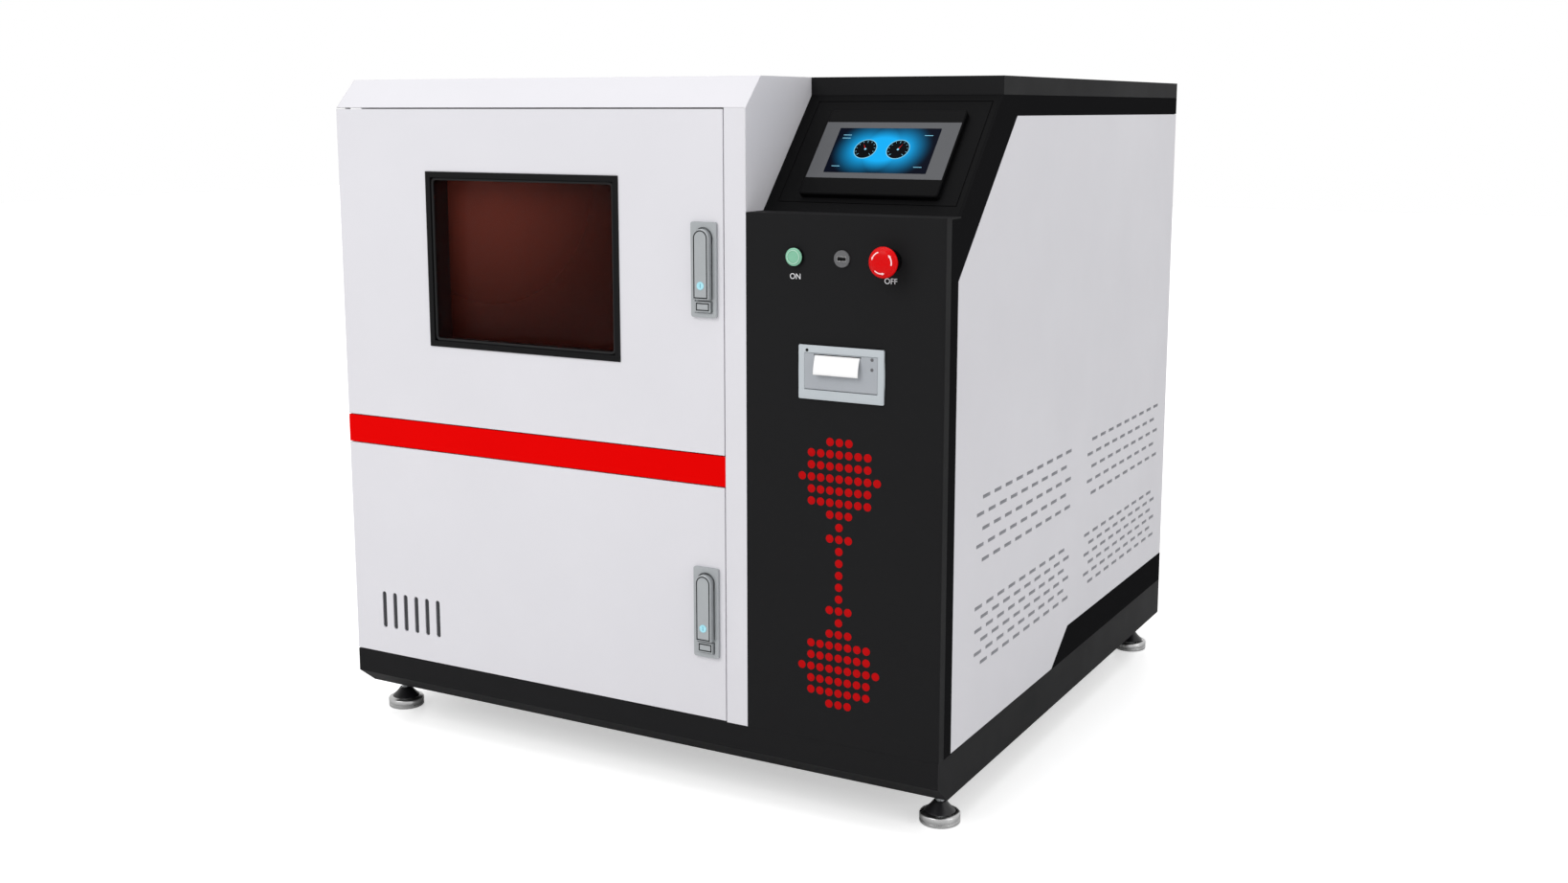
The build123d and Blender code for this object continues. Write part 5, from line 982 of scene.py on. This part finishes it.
def paper(cover_front):
    """Strip that leans out and ends in a torn edge, and a dark sheet for the slot that it comes out
    of, as painted shade.
    """
    low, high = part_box("paper_strip")
    centre_x = (low.x + high.x) / 2
    half = (high.x - low.x) / 2
    steps = 10
    teeth = 44
    tooth_depth = 0.0007
    root = 0.0036
    lean = high.y - low.y - 0.0012
    mesh = bmesh.new()
    rows = []
    for step in range(steps + 1):
        share = step / steps
        out = root + lean * math.sin(share * math.pi / 2) ** 0.8
        drop = high.z - share * (high.z - low.z)
        row = []
        for tooth in range(teeth + 1):
            across = -half + 2 * half * tooth / teeth
            rise = drop + (tooth_depth if step == steps and tooth % 2 else 0.0)
            row.append(mesh.verts.new(Vector((centre_x + across, FRONT - out, rise))))
        rows.append(row)
    for upper, lower in zip(rows, rows[1:]):
        for tooth in range(teeth):
            mesh.faces.new((upper[tooth], upper[tooth + 1], lower[tooth + 1], lower[tooth]))
    strip = finish_piece("paper_tongue", mesh, PAPER, "printer_lid", 60)
    thickness = strip.modifiers.new("thickness", "SOLIDIFY")
    thickness.thickness = 0.0002
    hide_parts("paper_strip")
    # The slot is a thin dark sheet on the cover: painted shade of the opening
    mesh = bmesh.new()
    slot_outline = rounded(2 * half + 0.004, 0.0014, 0.0006, 3)
    slot_place = on_front(centre_x, FRONT, high.z + 0.0005)
    prism(mesh, slot_outline(), cover_front + 0.0004, cover_front + 0.0006, slot_place)
    finish_piece("paper_slot", mesh, DARK_LENS_AND_SLOT_SHADE, "printer_lid")


def printer_lamp(x, z):
    profile = [(0, 0.003), (0.0021, 0.003), (0.0021, 0.0035), (0.0016, 0.0039), (0, 0.004)]
    mesh = bmesh.new()
    lathe(mesh, profile, on_front(x, FRONT, z), 24)
    finish_piece("printer_lamp", mesh, DARK_LENS_AND_SLOT_SHADE, "cabinet")


def printer_keys(x, front, top):
    """Two round keys on the cover, by their drop from the housing's top."""
    profile = [(0, 0.0005), (0.0022, 0.0005), (0.0022, 0.0007), (0.0017, 0.0010), (0, 0.0011)]
    mesh = bmesh.new()
    for drop in (0.0095, 0.0225):
        lathe(mesh, profile, on_front(x, front, top - drop - 0.004), 24)
    finish_piece("printer_keys", mesh, SOCKET, "printer_lid")


def printer():
    low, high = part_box("printer_housing")
    cover_low, cover_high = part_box("printer_cover")
    centre_x = (low.x + high.x) / 2
    centre_z = (low.z + high.z) / 2
    cover_front = FRONT - cover_low.y
    # Opening of the bezel: half width, low and top, from the housing's middle
    opening = (
        (cover_high.x - cover_low.x) / 2 - 0.002,
        cover_low.z - OPENING_GAP - centre_z,
        cover_high.z + OPENING_GAP - centre_z,
    )
    bezel(low, high, opening)
    cover(centre_x, centre_z, opening, cover_front)
    paper(cover_front)
    printer_lamp(low.x + 0.0125, high.z - 0.0068)
    printer_keys(high.x - 0.0165, cover_low.y, high.z)


# Round dots of the ornament, a hair proud of the sheet

def dots():
    """Rows of dots, each row centred on the same line."""
    mesh = bmesh.new()
    profile = [
        (DOT_RADIUS, 0.0),
        (DOT_RADIUS, 0.0002),
        (DOT_RADIUS - 0.0006, DOT_RISE),
        (0, DOT_RISE),
    ]
    for row, number in enumerate(DOT_ROWS):
        for column in range(number):
            x = DOT_CENTRE_X + (column - (number - 1) / 2) * DOT_PITCH_X
            lathe(mesh, profile, on_front(x, FRONT, DOT_TOP_Z - row * DOT_PITCH_Z), 20)
    finish_piece("ornament_dots", mesh, DOT, "cabinet", 40)


# Pressed pockets of the side louvres, open along their upper edge, coated darker as painted shade

def pocket(mesh, centre_y, centre_z, along_steps=8, rise_steps=4):
    """One dent in the side panel's skin, deepest at its upper edge."""
    grid = []
    for rise in range(rise_steps + 1):
        share_z = rise / rise_steps
        line = []
        for along in range(along_steps + 1):
            share_y = 2 * along / along_steps - 1
            ends = math.sqrt(max(0.0, 1 - share_y ** 4))
            depth = LOUVRE_DEPTH * ends * math.sin(share_z * math.pi / 2)
            line.append(mesh.verts.new(Vector((
                SIDE_SKIN - depth,
                centre_y + share_y * LOUVRE_LENGTH / 2,
                centre_z + (share_z - 0.5) * LOUVRE_HEIGHT,
            ))))
        grid.append(line)
    for one, two in zip(grid, grid[1:]):
        for along in range(along_steps):
            mesh.faces.new((one[along], one[along + 1], two[along + 1], two[along]))


def louvres():
    mesh = bmesh.new()
    for top_z, step_z, rows, starts, shift in LOUVRE_FIELDS:
        for row in range(rows):
            for start in starts:
                for number in range(LOUVRE_COUNT):
                    centre_y = start + (shift if row % 2 else 0) + number * LOUVRE_PITCH
                    pocket(mesh, centre_y, top_z - row * step_z)
    finish_piece("louvre_pockets", mesh, LOUVRE_POCKET_SHADE, "cabinet", 60)


# Levelling feet: turned pad with a groove, dark cone, threaded stem and nut

def feet():
    for name in ("foot_front_left", "foot_front_right", "foot_rear_left", "foot_rear_right"):
        low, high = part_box(name)
        centre = (low + high) / 2
        place = on_floor(centre.x, centre.y)
        mesh = bmesh.new()
        pad = [
            (0, 0.0), (0.0268, 0.0), (0.0280, 0.0012), (0.0280, 0.0046),
            (0.0272, 0.0052), (0.0272, 0.0062), (0.0280, 0.0068), (0.0280, 0.0126),
            (0.0270, 0.0140), (0.0246, 0.0150), (0.0205, 0.0162), (0, 0.0165),
        ]
        lathe(mesh, pad, place, 72)
        foot = finish_piece(name + "_pad", mesh, FOOT, name + "_body", 40)
        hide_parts(name)
        mesh = bmesh.new()
        cone = [
            (0, 0.0150), (0.0215, 0.0158), (0.0190, 0.0185), (0.0140, 0.0235),
            (0.0105, 0.0280), (0.0088, 0.0300), (0, 0.0300),
        ]
        lathe(mesh, cone, place, 48)
        finish_piece(name + "_cone", mesh, MACHINE, name + "_body", 40)
        mesh = bmesh.new()
        thread = [(0, 0.029)]
        turns = 34
        root_radius = 0.0052
        crest_radius = 0.0060
        for turn in range(turns):
            base = 0.0295 + turn * (high.z - 0.0305) / turns
            thread += [(root_radius, base), (crest_radius, base + 0.0008)]
        thread.append((0, high.z))
        lathe(mesh, thread, place, 32)
        finish_piece(name + "_thread", mesh, ZINC, name + "_body", 30)
        mesh = bmesh.new()
        nut_layers = ((0.0012, 0.0407), (0.0, 0.0415), (0.0, 0.0489), (0.0012, 0.0497))
        layered(mesh, disc(0.011, 6), nut_layers, place)
        finish_piece(name + "_nut", mesh, ZINC, name + "_body", 30)


# Screws round the rear panel

def screw(mesh, place, radius=0.0045):
    """Round head with a socket in its middle."""
    lathe(
        mesh,
        [
            (radius, 0.0),
            (radius, radius * 0.2),
            (radius * 0.85, radius * 0.42),
            (radius * 0.5, radius * 0.52),
            (radius * 0.45, radius * 0.2),
            (0, radius * 0.2),
        ],
        place,
        20,
    )


def screws():
    low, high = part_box("rear_panel")
    mesh = bmesh.new()
    inset = 0.012
    across = 5
    upright = 4
    for step in range(across):
        x = low.x + inset + (high.x - low.x - 2 * inset) * step / (across - 1)
        for z in (low.z + inset, high.z - inset):
            screw(mesh, on_back(x, high.y, z))
    for step in range(1, upright):
        z = low.z + inset + (high.z - low.z - 2 * inset) * step / upright
        for x in (low.x + inset, high.x - inset):
            screw(mesh, on_back(x, high.y, z))
    finish_piece("rear_screws", mesh, ZINC, "cabinet", 40)


window()
operator_panel()
power_button()
handle_outlines()
usb_details()
stop_button()
words()
printer()
dots()
louvres()
feet()
screws()


# Stage, light and camera

def stage():
    """Pale floor that looks white to the camera and keeps the object's shadow."""
    data = bpy.data.meshes.new("studio_floor")
    corners = [(side_x * FLOOR_REACH, side_y * FLOOR_REACH, 0) for side_x, side_y in FLOOR_CORNERS]
    data.from_pydata(corners, [], [(0, 1, 2, 3)])
    floor = bpy.data.objects.new("studio_floor", data)
    bpy.context.collection.objects.link(floor)
    made = bpy.data.materials.new("studio_floor")
    made.use_nodes = True
    tree = made.node_tree
    shader = tree.nodes["Principled BSDF"]
    shader.inputs["Base Color"].default_value = (0.9, 0.9, 0.9, 1)
    shader.inputs["Roughness"].default_value = 0.35
    shader.inputs["Specular IOR Level"].default_value = 0.3
    shader.inputs["Emission Color"].default_value = (1, 1, 1, 1)
    rays = node(tree, "LightPath")
    seen = between(tree, rays.outputs["Is Camera Ray"], 0.0, FLOOR_GLOW, 0.0, 1.0)
    join(tree, seen, shader.inputs["Emission Strength"])
    data.materials.append(made)


def world():
    """White round the object for camera, gloss and glass, and a weaker white that lights it."""
    made = bpy.data.worlds.new("studio")
    bpy.context.scene.world = made
    made.use_nodes = True
    tree = made.node_tree
    tree.nodes.clear()
    output = tree.nodes.new("ShaderNodeOutputWorld")
    lit = tree.nodes.new("ShaderNodeBackground")
    lit.inputs["Color"].default_value = (1.0, 1.0, 1.0, 1)
    lit.inputs["Strength"].default_value = WORLD_LIGHT
    seen = tree.nodes.new("ShaderNodeBackground")
    seen.inputs["Color"].default_value = (1, 1, 1, 1)
    seen.inputs["Strength"].default_value = 1.0
    rays = node(tree, "LightPath")
    total = None
    for kind in ("Is Camera Ray", "Is Glossy Ray", "Is Transmission Ray"):
        if total is None:
            total = rays.outputs[kind]
        else:
            more = tree.nodes.new("ShaderNodeMath")
            more.operation = "MAXIMUM"
            join(tree, total, more.inputs[0])
            join(tree, rays.outputs[kind], more.inputs[1])
            total = more.outputs[0]
    mix = tree.nodes.new("ShaderNodeMixShader")
    join(tree, total, mix.inputs["Fac"])
    join(tree, lit.outputs[0], mix.inputs[1])
    join(tree, seen.outputs[0], mix.inputs[2])
    join(tree, mix.outputs[0], output.inputs["Surface"])


def lamp(name, place, target, size, power):
    """Square soft light that looks at its target."""
    light = bpy.data.lights.new(name, "AREA")
    light.shape = "SQUARE"
    light.size = size
    light.energy = power
    made = bpy.data.objects.new(name, light)
    bpy.context.collection.objects.link(made)
    made.location = place
    made.rotation_euler = (Vector(target) - Vector(place)).to_track_quat("-Z", "Y").to_euler()


def camera():
    """Camera at the photograph's place, shifted for its picture centre."""
    data = bpy.data.cameras.new("camera")
    data.sensor_width = SENSOR
    data.lens = SENSOR * FOCAL_PIXELS / PHOTO_WIDTH
    data.shift_y = -(PHOTO_HEIGHT / 2 - CENTRE_PIXELS_Y) / PHOTO_WIDTH
    made = bpy.data.objects.new("camera", data)
    bpy.context.collection.objects.link(made)
    forward = Vector((
        math.sin(CAMERA_YAW) * math.cos(CAMERA_PITCH),
        math.cos(CAMERA_YAW) * math.cos(CAMERA_PITCH),
        math.sin(CAMERA_PITCH),
    ))
    made.location = CAMERA_PLACE
    made.rotation_euler = forward.to_track_quat("-Z", "Y").to_euler()
    bpy.context.scene.camera = made


stage()
world()
for values in LAMPS:
    lamp(*values)
camera()
bpy.context.scene.view_settings.view_transform = "Standard"
